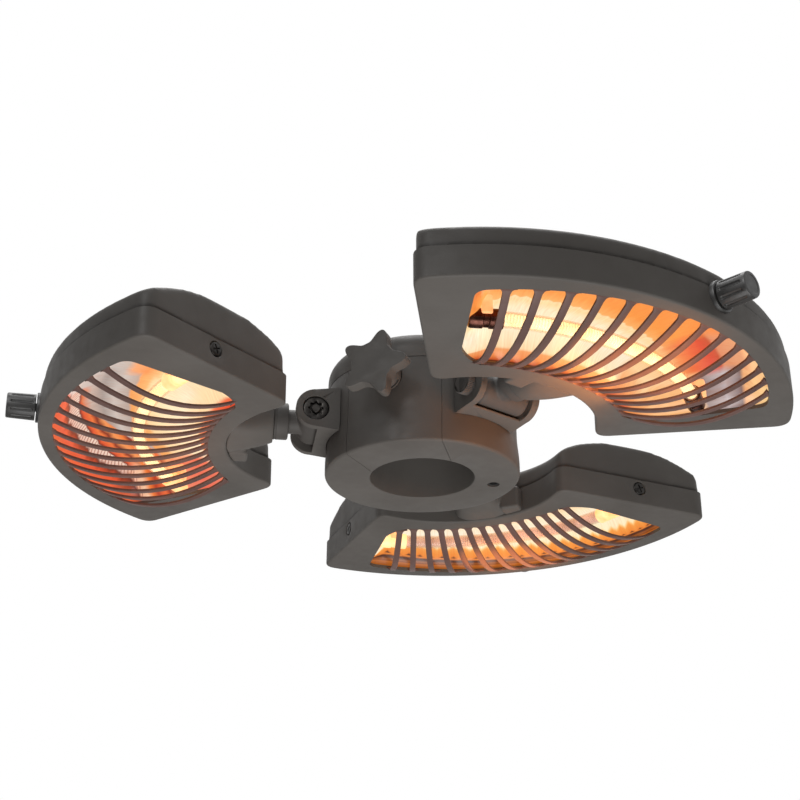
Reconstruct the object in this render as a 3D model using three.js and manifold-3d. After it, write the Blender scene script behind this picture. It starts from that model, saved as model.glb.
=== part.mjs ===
// Parasol heater: a round hub that is clamped on a parasol pole carries three flat fan-shaped
// heater heads, each on a short tilting arm. Millimetres, z up.
// The hub axis is the z axis and the underside of the hub is z = 0.
import * as THREE from 'three';
import { mergeVertices } from 'three/addons/utils/BufferGeometryUtils.js';
import Module from 'manifold-3d';

const wasm = await Module();
wasm.setup();

// Shared small sizes.
const gap = 0.3;
const seatGap = 0.6;
const overrun = 6;
const weld = 1;
const mergeDistance = 0.0001;
const coarseSteps = 10;
const roundSteps = 16;
const fineSteps = 36;
const degree = Math.PI / 180;
const full = 2 * Math.PI;

// Where the three heads and the clamp jaw stand round the hub.
const rightAzimuth = -50.5;
const backAzimuth = 69.5;
const leftAzimuth = 189.5;

// How far each head droops from level as it hangs, in degrees.
const rightDroop = -0.2;
const backDroop = 0.9;
const leftDroop = 0.5;

// The clamp's knob stands midway between two heads, its jaw a little to one side of it.
const clampAzimuth = 249.5;
const jawOffset = 2.2;

// Hub.
const hubRadius = 70;
const hubRimFlare = 1.4;
const hubRimRadius = hubRadius + hubRimFlare;
const hubRimHeight = 8;
const hubFlareHeight = 30;
const hubRimBevel = 2.4;
const hubHeight = 65.4;
const hubWall = 4;
const hubFloor = 5;
const poleHoleRadius = 38.3;
const sleeveWall = 3.7;
const capTop = 88;
const capFillet = 14;
const capWall = 3;
const capRounding = 15;
const capFlatRadius = hubRadius - capRounding;
const filletSteps = 4;

// Clamp jaw, cut out of the hub by two splayed faces.
const jawInnerHalf = 30.4;
const jawOuterHalf = 35.4;
const jawInnerReach = 27.5;
const jawOuterReach = 63;
const jawWall = 4;
const jawBoreRadius = 4.5;
const jawRecessRadius = 12.5;
const jawRecessDepth = 12;
const jawRecessWall = 4;
const knobDrop = 14.1;
const knobHeight = hubHeight - knobDrop;

// Star knob, its screw and the pad that presses on the pole.
const knobReach = 26;
const knobFace = hubRadius + knobReach;
const knobThickness = 9.5;
const knobTipRadius = 23.2;
const knobValleyRadius = 15.4;
const knobLobes = 5;
const knobOutlineSteps = 40;
const knobTurn = 16.5;
const knobBossRadius = 11;
const knobBossReach = 1.6;
const knobBossEnd = hubRadius + knobBossReach;
const screwRadius = 4;
const padRetreat = 3.7;
const padFace = poleHoleRadius - padRetreat;
const padThickness = 4;
const padHalfWidth = 11;
const padHalfHeight = 12;
const padPocketDepth = 5.2;
const padPocketPlay = 0.6;
const screwTip = padFace + padThickness + gap;

// Small cable hole in the hub floor, with its grommet.
const cableAzimuth = 13.6;
const cableReach = (poleHoleRadius + sleeveWall + hubRadius - hubWall) / 2;
const cableHoleRadius = 4.6;
const grommetFlange = 5.6;
const grommetBore = 2.6;
const grommetLip = 0.8;

// Tilt bracket on the hub.
const pivotStandoff = 11.5;
const pivotReach = hubRadius + pivotStandoff;
const pivotHeight = 38.7;
const earRadius = 14.4;
const earRootHalf = 17.4;
const earNear = 29.5;
const earFar = -24.5;
const earThickness = 5;
const nearEarThickness = 10;
const bossRecessRadius = 9.4;
const bossRecessDepth = 6;
const webStandoff = 9;
const webReach = hubRadius + webStandoff;
const pivotRadius = 4;
const pivotHeadRadius = 7.5;
const pivotHeadHeight = 5;
const nutRadius = 8;
const nutHeight = 4.6;
const nutRecess = 2.4;

// Arm, collar and neck.
const knuckleRadius = 13.2;
const knuckleCoreRadius = 10.6;
const knuckleLean = -20;
const stubRadius = 8.9;
const stubLength = 18.1;
const collarLength = 10.5;
const collarStart = pivotReach + stubLength;
const collarEnd = collarStart + collarLength;
const collarRadius = 13.5;
const spigotLength = 16.9;
const spigotEnd = collarEnd + spigotLength;
const armHeight = 39.4;
const neckStart = collarEnd + gap;
const neckStartHalf = 16;
const neckFlareReach = spigotEnd + weld;
const neckFlareHalf = 20;
const neckEndHalf = 29;
const neckLength = 39.9;
const neckEnd = collarEnd + neckLength;
const neckBottom = 18.6;
const neckTop = 52;
const neckMidBottom = 20;
const neckMidTop = 53;
const neckSquareness = [2, 3.2, 4];
const blockNear = 18;
const blockFar = 34;
const blockStart = spigotEnd;
const blockBottom = 19.5;
const blockTop = 38;
const blockBevel = 3;

// Head, in its own frame: x away from the hub axis, y along the arc.
// Its inner and outer walls are arcs that cross the x axis at headStart and headEnd.
const headSet = 33.7;
const headDepth = 133.2;
const headStart = collarEnd + headSet;
const headEnd = headStart + headDepth;
const outerRadius = 228.1;
const outerCentre = headEnd - outerRadius;
const innerRadius = 87.8;
const innerCentre = headStart - innerRadius;
const sideBack = 41.1;
const sideStartHalf = 76.2;
const sideStart = [headStart - sideBack, sideStartHalf];
const sideLength = 97;
const sideEndHalf = 169.7;
const sideEnd = [sideStart[0] + sideLength, sideEndHalf];
const outerSoft = 11;
const innerSoft = 13;
const headBottom = 18.2;
const headEdgeBevel = 1.8;
const headWall = 2.6;
const headFloor = 2.8;
const partingHeight = 39.3;
const shellStep = 1.6;
const shellEdge = 1.2;
const shellWall = 2.4;
const domeOffset = 3.1;
const domeCentre = outerCentre + domeOffset;
const domeSpan = 68.6;
const shellTop = 52.8;
const domeMargin = 1.4;
const domeInner = headStart + domeMargin - domeCentre;
const domeOuter = headEnd - domeMargin - domeCentre;
const domeShares = [0, 0.05, 0.16, 0.32, 0.62, 0.78, 0.92, 1];
const domeRiseShares = [0, 0.3, 0.68, 0.97, 0.98, 0.74, 0.32, 0];

// Grille window and bars.
const windowInnerMargin = 13.2;
const windowOuterMargin = 10;
const windowOuterRadius = 188.4;
const windowOuterCentre = headEnd - windowOuterMargin - windowOuterRadius;
const windowInnerRadius = 137.4;
const windowInnerCentre = headStart + windowInnerMargin - windowInnerRadius;
const windowSideBack = 5.8;
const windowStartHalf = 81.5;
const windowSideStart = [headStart - windowSideBack, windowStartHalf];
const windowSideLength = 76;
const windowEndHalf = 133;
const windowSideEnd = [windowSideStart[0] + windowSideLength, windowEndHalf];
const windowSoft = 8;
const windowInnerSoft = 14;
const windowSideSoft = 21;
const windowStraighter = 0.6;
const barCount = 14;
const barPitch = 4.22;
const barLean = 0.7;
const barWidth = 4.8;
const barThickness = 2.4;
const barBulge = 12.6;
const barRoot = 2.4;
const barSteps = 8;

// Reflector, tube and its two holders.
// The reflector is a trough: its foot, bend, shoulder and crown are steps in from the window.
const reflectorFoot = 1.2;
const reflectorBend = 6;
const reflectorShoulder = 14;
const reflectorCrown = 30;
const reflectorFootHeight = headBottom + headFloor + reflectorFoot - gap;
const reflectorBendHeight = 27;
const reflectorShoulderHeight = 40;
const reflectorCrownHeight = 47.5;
const reflectorInsets = [-reflectorFoot, reflectorBend, reflectorShoulder, reflectorCrown];
const reflectorLevels = [
  reflectorFootHeight,
  reflectorBendHeight,
  reflectorShoulderHeight,
  reflectorCrownHeight,
];
const reflectorWall = 1.2;
const tubeSet = 68.2;
const tubeReach = 186;
const tubeCentre = headStart + tubeSet - tubeReach;
const tubeRadius = 8;
const tubeHeight = 29.5;
const tubeHalf = 93.6;
const tubeAngle = Math.asin(tubeHalf / tubeReach) / degree;
const tubeSteps = 10;
const tubeSides = 8;
const holderLength = 20;
const holderHalf = 11;
const holderTop = 37;
const holderBottom = 21.8;
const holderBite = 5;
const holderPlay = 1.2;

// Power dial and its switch on the outer wall.
// Lengths along the dial's axis are counted from the wall.
const dialHeight = 35;
const dialAside = 12;
const dialLean = 6;
const bezelRadius = 11.4;
const bezelEnd = 2.6;
const dialStart = bezelEnd + gap;
const dialEnd = 23;
const dialRadius = 9.4;
const dialTipRadius = 8.9;
const dialFluteRadius = 1.5;
const dialFlutes = 10;
const fluteSteps = 6;
const stemRadius = 3;
const stemEnd = 14;
const switchBack = -13;
const switchFront = -4.8;
const switchHalf = 7.5;

// Screws in the side walls.
const sideScrewShare = 0.545;
const sideScrewHeight = 32.2;
const sideBossRadius = 7.4;
const sideBossDepth = 7;
const sideRecessRadius = 5.7;
const sideRecessDepth = 2.6;
const sideHeadRadius = 5.1;
const sideHeadHeight = 2;
const sideShankRadius = 1.9;
const sideShankLength = 3.6;

// Helpers.

function solidOf(geometry) {
  const bare = new THREE.BufferGeometry();
  bare.setAttribute('position', geometry.getAttribute('position').clone());
  if (geometry.index) bare.setIndex(geometry.index.clone());
  const merged = mergeVertices(bare, mergeDistance);
  return new wasm.Manifold(new wasm.Mesh({
    numProp: 3,
    vertProperties: new Float32Array(merged.getAttribute('position').array),
    triVerts: new Uint32Array(merged.index.array),
  }));
}

function geometryOf(solid) {
  const mesh = solid.getMesh();
  const geometry = new THREE.BufferGeometry();
  const points = [];
  for (let i = 0; i < mesh.numVert; i += 1) {
    for (let k = 0; k < 3; k += 1) points.push(mesh.vertProperties[i * mesh.numProp + k]);
  }
  geometry.setAttribute('position', new THREE.Float32BufferAttribute(points, 3));
  geometry.setIndex(Array.from(mesh.triVerts));
  return geometry;
}

// A closed body through rings of equally many points, first ring lowest.
function loft(rings) {
  const count = rings[0].length;
  const points = rings.flat().flat();
  const faces = [];
  for (let level = 0; level + 1 < rings.length; level += 1) {
    for (let i = 0; i < count; i += 1) {
      const a = level * count + i;
      const b = level * count + (i + 1) % count;
      const c = a + count;
      const d = b + count;
      faces.push(a, b, d, a, d, c);
    }
  }
  const cap = (ring, first, flip) => {
    const start = new THREE.Vector3(...ring[0]);
    const normal = new THREE.Vector3();
    for (let i = 0; i < count; i += 1) {
      const p = new THREE.Vector3(...ring[i]).sub(start);
      const q = new THREE.Vector3(...ring[(i + 1) % count]).sub(start);
      normal.add(p.cross(q));
    }
    normal.normalize();
    const across = new THREE.Vector3(...ring[1]).sub(start).normalize();
    const up = normal.clone().cross(across);
    const flat = ring.map((p) => {
      const offset = new THREE.Vector3(...p).sub(start);
      return new THREE.Vector2(offset.dot(across), offset.dot(up));
    });
    for (const [i, j, k] of THREE.ShapeUtils.triangulateShape(flat, [])) {
      if (flip) faces.push(first + i, first + k, first + j);
      else faces.push(first + i, first + j, first + k);
    }
  };
  cap(rings[0], 0, true);
  cap(rings[rings.length - 1], (rings.length - 1) * count, false);
  const geometry = new THREE.BufferGeometry();
  geometry.setAttribute('position', new THREE.Float32BufferAttribute(points, 3));
  geometry.setIndex(faces);
  return solidOf(geometry);
}

// A stack of flat outlines at rising heights.
function stack(levels) {
  return loft(levels.map(([outline, z]) => outline.map(([x, y]) => [x, y, z])));
}

function lathe(profile, steps) {
  const points = profile.map(([r, z]) => new THREE.Vector2(r, z));
  points.push(points[0].clone());
  const geometry = new THREE.LatheGeometry(points, steps);
  geometry.rotateX(Math.PI / 2);
  return solidOf(geometry);
}

function rod(radius, start, end, steps) {
  return lathe([[0, start], [radius, start], [radius, end], [0, end]], steps);
}

function box(x0, x1, y0, y1, z0, z1) {
  return stack([
    [[[x0, y0], [x1, y0], [x1, y1], [x0, y1]], z0],
    [[[x0, y0], [x1, y0], [x1, y1], [x0, y1]], z1],
  ]);
}

// Turns a body made along z so that it lies along x or y at a place.
function alongX(solid, x, y, z) {
  return solid.rotate([0, 90, 0]).translate([x, y, z]);
}

function alongY(solid, x, y, z) {
  return solid.rotate([-90, 0, 0]).translate([x, y, z]);
}

function trimmed(line, reach) {
  const points = line.map((p) => p.slice());
  let left = reach;
  while (points.length > 2) {
    const step = Math.hypot(points[1][0] - points[0][0], points[1][1] - points[0][1]);
    if (step > left) break;
    left -= step;
    points.shift();
  }
  const step = Math.hypot(points[1][0] - points[0][0], points[1][1] - points[0][1]);
  const share = left / step;
  points[0] = points[0].map((value, k) => value + (points[1][k] - value) * share);
  return points;
}

// One fan outline, drawn counter-clockwise, as equally many points for every inset.
function fan(shape, inset) {
  const outer = shape.outerRadius - inset;
  const inner = shape.innerRadius + inset;
  const run = [shape.sideEnd[0] - shape.sideStart[0], shape.sideEnd[1] - shape.sideStart[1]];
  const length = Math.hypot(run[0], run[1]);
  const base = [
    shape.sideStart[0] + run[1] / length * inset,
    shape.sideStart[1] - run[0] / length * inset,
  ];
  const meet = (centre, radius) => {
    const b = ((base[0] - centre) * run[0] + base[1] * run[1]) / (length * length);
    const c = ((base[0] - centre) ** 2 + base[1] ** 2 - radius ** 2) / (length * length);
    const t = -b + Math.sqrt(b * b - c);
    return [base[0] + run[0] * t, base[1] + run[1] * t];
  };
  const outerCorner = meet(shape.outerCentre, outer);
  const innerCorner = meet(shape.innerCentre, inner);
  const arc = (centre, radius, corner, steps) => {
    const angle = Math.asin(corner[1] / radius);
    const line = [];
    for (let i = 0; i <= steps; i += 1) {
      const a = -angle + 2 * angle * i / steps;
      line.push([centre + radius * Math.cos(a), radius * Math.sin(a)]);
    }
    return line;
  };
  const soften = (line, startReach, endReach) => {
    const once = trimmed(line, startReach);
    return trimmed(once.reverse(), endReach).reverse();
  };
  const mirror = ([x, y]) => [x, -y];
  const outerArc = arc(shape.outerCentre, outer, outerCorner, shape.outerSteps);
  const innerArc = arc(shape.innerCentre, inner, innerCorner, shape.innerSteps).reverse();
  const even = (line, count) => {
    const path = new THREE.CurvePath();
    for (let i = 0; i + 1 < line.length; i += 1) {
      path.add(new THREE.LineCurve(new THREE.Vector2(...line[i]), new THREE.Vector2(...line[i + 1])));
    }
    return path.getSpacedPoints(count).map((p) => [p.x, p.y]);
  };
  const bend = (from, corner, to) => {
    const line = [];
    for (let i = 1; i < shape.cornerSteps; i += 1) {
      const t = i / shape.cornerSteps;
      line.push([0, 1].map((k) => (1 - t) ** 2 * from[k] + 2 * t * (1 - t) * corner[k] + t * t * to[k]));
    }
    return line;
  };
  const last = (line) => line[line.length - 1];
  const outerReach = shape.outerSoft - inset * shape.softShare;
  const innerReach = shape.innerSoft - inset * shape.softShare;
  const sideReach = (shape.sideSoft ?? shape.innerSoft) - inset * shape.softShare;
  const one = even(soften(outerArc, outerReach, outerReach), shape.outerSteps);
  const two = soften([outerCorner, innerCorner], outerReach, sideReach);
  const three = even(soften(innerArc, innerReach, innerReach), shape.innerSteps);
  const four = soften([mirror(innerCorner), mirror(outerCorner)], sideReach, outerReach);
  // an inner corner that is cut straighter than a round one
  const chord = [0, 1].map((k) => (last(two)[k] + three[0][k]) / 2);
  const innerMiddle = innerCorner.map((value, k) => value + (chord[k] - value) * (shape.straighter ?? 0));
  return [
    ...one, ...bend(last(one), outerCorner, two[0]),
    ...two, ...bend(last(two), innerMiddle, three[0]),
    ...three, ...bend(last(three), mirror(innerMiddle), four[0]),
    ...four, ...bend(last(four), mirror(outerCorner), one[0]),
  ];
}

const headShape = {
  outerCentre, outerRadius, innerCentre, innerRadius, sideStart, sideEnd,
  outerSoft, innerSoft, softShare: 0.4, outerSteps: 12, innerSteps: 7, cornerSteps: 3,
};
const windowShape = {
  outerCentre: windowOuterCentre,
  outerRadius: windowOuterRadius,
  innerCentre: windowInnerCentre,
  innerRadius: windowInnerRadius,
  sideStart: windowSideStart,
  sideEnd: windowSideEnd,
  outerSoft: windowSoft,
  innerSoft: windowInnerSoft,
  sideSoft: windowSideSoft,
  straighter: windowStraighter,
  softShare: 0.1,
  outerSteps: 9,
  innerSteps: 5,
  cornerSteps: 3,
};

// Finishes.

const colours = {
  housing: 0x5a5753,
  housingDark: 0x46423e,
  black: 0x1f1e1d,
  steel: 0x8f8c88,
  reflector: 0xe39a3c,
  tube: 0xffe9b0,
  ceramic: 0xd8d2c8,
};
const finishes = {
  housing: { metalness: 0.3, roughness: 0.6 },
  housingDark: { metalness: 0.3, roughness: 0.6 },
  black: { metalness: 0, roughness: 0.6 },
  steel: { metalness: 0.8, roughness: 0.4 },
  reflector: { metalness: 0.8, roughness: 0.3 },
  tube: { metalness: 0, roughness: 0.4 },
  ceramic: { metalness: 0, roughness: 0.8 },
};

const heater = new THREE.Group();
heater.name = 'parasol_heater';

function add(name, solid, finish) {
  const material = new THREE.MeshStandardMaterial({ color: colours[finish], ...finishes[finish] });
  const mesh = new THREE.Mesh(geometryOf(solid), material);
  mesh.name = name;
  heater.add(mesh);
}

// Hub.

const annulus = lathe([
  [poleHoleRadius, 0],
  [hubRimRadius - hubRimBevel, 0],
  [hubRimRadius, hubRimBevel],
  [hubRimRadius, hubRimHeight],
  [hubRadius, hubFlareHeight],
  [hubRadius, hubHeight],
  [poleHoleRadius, hubHeight],
], fineSteps);
const hubRoom = lathe([
  [poleHoleRadius + sleeveWall, hubFloor],
  [hubRadius - hubWall, hubFloor],
  [hubRadius - hubWall, hubHeight + overrun],
  [poleHoleRadius + sleeveWall, hubHeight + overrun],
], fineSteps);

// The space between the two splayed faces of the jaw, wider by a margin.
function jawWedge(margin) {
  const slope = (jawOuterHalf - jawInnerHalf) / (jawOuterReach - jawInnerReach);
  const halfAt = (reach) => jawInnerHalf + (reach - jawInnerReach) * slope + margin;
  const far = hubRimRadius + overrun;
  const outline = [
    [0, -halfAt(0)],
    [far, -halfAt(far)],
    [far, halfAt(far)],
    [0, halfAt(0)],
  ];
  return stack([[outline, -overrun], [outline, capTop + overrun]]).rotate([0, 0, jawOffset]);
}

const jawGap = jawWedge(gap).rotate([0, 0, clampAzimuth]);
const jawGrown = jawWedge(gap + jawWall).rotate([0, 0, clampAzimuth]);
const cableHole = rod(cableHoleRadius, -overrun, hubFloor + overrun, coarseSteps)
  .translate([cableReach, 0, 0])
  .rotate([0, 0, cableAzimuth]);
add('hub_body', annulus.subtract(hubRoom.subtract(jawGrown)).subtract(jawGap).subtract(cableHole), 'housing');

const grommet = lathe([
  [grommetBore, -grommetLip],
  [grommetFlange, -grommetLip],
  [grommetFlange, -gap / 3],
  [cableHoleRadius - gap, -gap / 3],
  [cableHoleRadius - gap, hubFloor + gap],
  [grommetBore, hubFloor + gap],
], coarseSteps);
add('cable_grommet', grommet.translate([cableReach, 0, 0]).rotate([0, 0, cableAzimuth]), 'black');

// Jaw: its body, a web round the screw, the screw bore and the recess for the knob boss.
const jawRound = jawWedge(0);
const jawRoom = hubRoom.intersect(jawWedge(-jawWall));
const screwWeb = alongX(
  rod(jawRecessRadius + jawRecessWall, poleHoleRadius + weld, hubRadius - weld, roundSteps),
  0, 0, knobHeight,
);
let jaw = annulus.intersect(jawRound).subtract(jawRoom).add(screwWeb.intersect(annulus));
jaw = jaw.subtract(alongX(rod(jawBoreRadius, 0, hubRadius + overrun, coarseSteps), 0, 0, knobHeight));
jaw = jaw.subtract(alongX(
  rod(jawRecessRadius, hubRadius - jawRecessDepth, hubRadius + overrun, roundSteps), 0, 0, knobHeight,
));
const pocketHalf = padHalfWidth + padPocketPlay;
const pocketTall = padHalfHeight + padPocketPlay;
jaw = jaw.subtract(box(
  0, poleHoleRadius + padPocketDepth - gap,
  -pocketHalf, pocketHalf,
  knobHeight - pocketTall, knobHeight + pocketTall,
));
add('clamp_jaw', jaw.rotate([0, 0, clampAzimuth]), 'housing');

const pad = box(
  padFace, padFace + padThickness,
  -padHalfWidth, padHalfWidth,
  knobHeight - padHalfHeight, knobHeight + padHalfHeight,
);
add('clamp_pad', pad.rotate([0, 0, clampAzimuth]), 'black');

// Star knob with its boss and screw bore, then the screw.
const knobBack = knobFace - knobThickness;
const starOutline = [];
for (let i = 0; i < knobOutlineSteps; i += 1) {
  const turn = full * i / knobOutlineSteps;
  const lobeShare = (1 + Math.cos(knobLobes * turn)) / 2;
  const reach = knobValleyRadius + (knobTipRadius - knobValleyRadius) * lobeShare;
  starOutline.push([reach * Math.cos(turn), reach * Math.sin(turn)]);
}
let star = stack([[starOutline, knobBack], [starOutline, knobFace]]).rotate([0, 0, knobTurn]);
star = star.add(rod(knobBossRadius, knobBossEnd, knobBack + weld, roundSteps));
const screwInKnob = knobFace - knobThickness / 2;
star = star.subtract(rod(screwRadius + gap, 0, screwInKnob + gap, coarseSteps));
add('star_knob', alongX(star, 0, 0, knobHeight).rotate([0, 0, clampAzimuth]), 'black');
add('clamp_screw', alongX(rod(screwRadius, screwTip, screwInKnob, coarseSteps), 0, 0, knobHeight)
  .rotate([0, 0, clampAzimuth]), 'steel');

// Cap: a domed ring lid with its own sleeve.
const capOuter = [];
const capInner = [];
for (let i = 0; i <= filletSteps; i += 1) {
  const a = i / filletSteps * Math.PI / 2;
  const reach = hubRadius - capFlatRadius;
  capOuter.push([
    capFlatRadius + reach * Math.sin(a),
    capTop - capFillet + capFillet * Math.cos(a),
  ]);
  capInner.push([
    capFlatRadius + (reach - capWall) * Math.sin(a),
    capTop - capFillet + (capFillet - capWall) * Math.cos(a),
  ]);
}
const capBottom = hubHeight + gap;
const cap = lathe([
  [poleHoleRadius, capBottom],
  [poleHoleRadius, capTop],
  ...capOuter,
  [hubRadius, capBottom],
  [hubRadius - capWall, capBottom],
  ...capInner.reverse(),
  [poleHoleRadius + capWall, capTop - capWall],
  [poleHoleRadius + capWall, capBottom],
].reverse(), fineSteps);
add('hub_cap', cap, 'housing');

// One head with its bracket, arm and fittings.

function place(solid, azimuth, droop = 0) {
  return solid
    .translate([-pivotReach, 0, -pivotHeight])
    .rotate([0, droop, 0])
    .translate([pivotReach, 0, pivotHeight])
    .rotate([0, 0, azimuth]);
}

function bracket() {
  const earOutline = (radius, rootHalf) => {
    const line = [[hubRadius - overrun, pivotHeight - rootHalf]];
    for (let i = 0; i <= coarseSteps; i += 1) {
      const a = -Math.PI / 2 + Math.PI * i / coarseSteps;
      line.push([pivotReach + radius * Math.cos(a), pivotHeight + radius * Math.sin(a)]);
    }
    line.push([hubRadius - overrun, pivotHeight + rootHalf]);
    return line;
  };
  const ear = (from, to) => {
    const line = earOutline(earRadius, earRootHalf);
    return loft([to, from].map((y) => line.map(([x, z]) => [x, y, z])));
  };
  let body = ear(earFar, earFar + earThickness);
  body = body.add(ear(earNear - nearEarThickness, earNear));
  body = body.add(box(
    hubRadius - overrun, webReach,
    earFar + weld, earNear - weld,
    pivotHeight - earRootHalf, pivotHeight + earRootHalf,
  ));
  const seatFar = earFar + earThickness;
  const seatNear = earNear - nearEarThickness;
  body = body.subtract(alongY(
    rod(knuckleRadius + gap, seatFar, seatNear, roundSteps), pivotReach, 0, pivotHeight,
  ));
  body = body.subtract(alongY(
    rod(pivotRadius + gap, earFar - overrun, earNear + overrun, coarseSteps), pivotReach, 0, pivotHeight,
  ));
  body = body.subtract(alongY(
    rod(bossRecessRadius, -bossRecessDepth, overrun, roundSteps), pivotReach, earNear, pivotHeight,
  ));
  body = body.subtract(alongY(
    rod(nutRadius + gap, -overrun, nutRecess, roundSteps), pivotReach, earFar, pivotHeight,
  ));
  return body.subtract(lathe([
    [0, 0],
    [hubRimRadius + seatGap, 0],
    [hubRimRadius + seatGap, hubRimHeight],
    [hubRadius + seatGap, hubFlareHeight],
    [hubRadius + seatGap, capTop],
    [0, capTop],
  ], fineSteps));
}

function arm() {
  const near = earNear - nearEarThickness - gap;
  const far = earFar + earThickness + gap;
  const outerHalf = box(0, spigotEnd, -spigotEnd, spigotEnd, -spigotEnd, spigotEnd)
    .rotate([0, knuckleLean, 0])
    .translate([pivotReach, 0, pivotHeight]);
  let body = alongY(rod(knuckleRadius, far, near, roundSteps), pivotReach, 0, pivotHeight)
    .intersect(outerHalf);
  body = body.add(alongY(rod(knuckleCoreRadius, far, near, roundSteps), pivotReach, 0, pivotHeight));
  body = body.add(alongX(rod(stubRadius, pivotReach, spigotEnd, roundSteps), 0, 0, armHeight));
  return body.subtract(alongY(
    rod(pivotRadius + gap, far - overrun, near + overrun, coarseSteps), pivotReach, 0, pivotHeight,
  ));
}

function pivotBolt() {
  const seat = earNear - bossRecessDepth + gap;
  const shank = rod(pivotRadius, earFar + nutRecess + gap, seat, coarseSteps);
  const head = rod(pivotHeadRadius, seat, seat + pivotHeadHeight, roundSteps);
  return alongY(head.add(shank.translate([0, 0, weld / 4])), pivotReach, 0, pivotHeight);
}

function pivotNut() {
  const start = earFar + nutRecess - gap - nutHeight;
  return alongY(rod(nutRadius, start, start + nutHeight, roundSteps), pivotReach, 0, pivotHeight);
}

function collar() {
  const ring = lathe([
    [stubRadius + gap, collarStart],
    [collarRadius - weld, collarStart],
    [collarRadius, collarStart + weld],
    [collarRadius, collarEnd],
    [stubRadius + gap, collarEnd],
  ], roundSteps);
  return alongX(ring, 0, 0, armHeight);
}

function neck() {
  const section = (x, half, low, high, power) => {
    const ring = [];
    for (let i = 0; i < roundSteps; i += 1) {
      const a = full * i / roundSteps;
      const c = Math.cos(a);
      const s = Math.sin(a);
      ring.push([
        x,
        half * Math.sign(c) * Math.abs(c) ** (2 / power),
        (low + high) / 2 + (high - low) / 2 * Math.sign(s) * Math.abs(s) ** (2 / power),
      ]);
    }
    return ring;
  };
  let body = loft([
    section(neckStart, neckStartHalf, armHeight - neckStartHalf, armHeight + neckStartHalf, neckSquareness[0]),
    section(neckFlareReach, neckFlareHalf, neckMidBottom, neckMidTop, neckSquareness[1]),
    section(neckEnd, neckEndHalf, neckBottom, neckTop, neckSquareness[2]),
  ]);
  const block = [
    [blockStart, -blockNear - blockBevel],
    [blockStart, -blockFar + blockBevel],
    [blockStart + blockBevel, -blockFar],
    [neckEnd, -blockFar],
    [neckEnd, -blockNear],
    [blockStart + blockBevel, -blockNear],
  ];
  body = body.add(stack([[block, blockBottom], [block, blockTop]]));
  const room = fan(headShape, -gap);
  body = body.subtract(stack([[room, -overrun], [room, capTop + overrun]]));
  return body.subtract(alongX(
    rod(stubRadius + gap, 0, spigotEnd + gap, roundSteps), 0, 0, armHeight,
  ));
}

// Middle of a side wall, where its screw sits, and the direction that wall faces.
const sideRun = [sideEnd[0] - sideStart[0], sideEnd[1] - sideStart[1]];
const sideFacing = Math.atan2(sideRun[0], -sideRun[1]) / degree;
const sideSpot = [
  sideStart[0] + sideRun[0] * sideScrewShare,
  sideStart[1] + sideRun[1] * sideScrewShare,
];

function onSide(solid, side) {
  return solid
    .rotate([0, 90, 0])
    .rotate([0, 0, side * sideFacing])
    .translate([sideSpot[0], side * sideSpot[1], sideScrewHeight]);
}

// The dial's place on the outer wall, for a body made along z.
function onWall(solid) {
  const reach = outerCentre + Math.sqrt(outerRadius ** 2 - dialAside ** 2);
  return solid.rotate([0, 90, 0]).rotate([0, 0, dialLean]).translate([reach, dialAside, dialHeight]);
}

function bars() {
  const rim = fan(windowShape, 0);
  // the points where a line from the origin crosses the window's edge, nearest first
  const crossings = (angle) => {
    const across = ([x, y]) => y * Math.cos(angle) - x * Math.sin(angle);
    const along = ([x, y]) => x * Math.cos(angle) + y * Math.sin(angle);
    const found = [];
    rim.forEach((a, i) => {
      const b = rim[(i + 1) % rim.length];
      const share = across(a) / (across(a) - across(b));
      if (share >= 0 && share < 1) found.push(along(a) + (along(b) - along(a)) * share);
    });
    return found.sort((a, b) => a - b).map((r) => [r * Math.cos(angle), r * Math.sin(angle)]);
  };
  const made = [];
  for (let i = 0; i < barCount; i += 1) {
    const turn = (i - (barCount - 1) / 2) * barPitch;
    const start = crossings((turn + barLean) * degree)[0];
    const end = crossings(turn * degree).pop();
    const way = [end[0] - start[0], end[1] - start[1]];
    const length = Math.hypot(...way);
    const rings = [];
    for (let k = 0; k <= barSteps; k += 1) {
      const t = k / barSteps;
      const x = -barRoot + (length + 2 * barRoot) * t;
      const sag = barBulge * (1 - (2 * t - 1) ** 2);
      const low = headBottom + weld / 4 - sag;
      const high = low + barThickness;
      rings.push([
        [x, -barWidth / 2, low],
        [x, barWidth / 2, low],
        [x, barWidth / 2, high],
        [x, -barWidth / 2, high],
      ]);
    }
    made.push(loft(rings).rotate([0, 0, Math.atan2(way[1], way[0]) / degree]).translate([...start, 0]));
  }
  return made;
}

function tray() {
  const wall = fan(headShape, 0);
  const softened = fan(headShape, headEdgeBevel / 3);
  const lowest = fan(headShape, headEdgeBevel);
  const room = fan(headShape, headWall);
  const hole = fan(windowShape, 0);
  let body = stack([
    [lowest, headBottom],
    [softened, headBottom + headEdgeBevel / 2],
    [wall, headBottom + headEdgeBevel],
    [wall, partingHeight],
  ]);
  body = body.subtract(stack([[room, headBottom + headFloor], [room, partingHeight + overrun]]));
  for (const side of [-1, 1]) {
    body = body.add(onSide(rod(sideBossRadius, -sideBossDepth, -weld, coarseSteps), side));
    body = body.subtract(onSide(rod(sideRecessRadius, -sideRecessDepth, overrun, coarseSteps), side));
    body = body.subtract(onSide(
      rod(sideShankRadius + gap, -sideBossDepth - overrun, 0, coarseSteps), side,
    ));
  }
  const below = outerRadius + outerCentre + overrun;
  body = body.add(onWall(rod(bezelRadius, -weld, bezelEnd, roundSteps))
    .intersect(box(0, below, -below, below, 0, partingHeight)));
  body = body.subtract(onWall(rod(stemRadius + gap, switchFront, stemEnd, coarseSteps)));
  body = body.subtract(stack([[hole, 0], [hole, headBottom + headFloor + weld]]));
  for (const bar of bars()) body = body.add(bar);
  return body;
}

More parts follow.
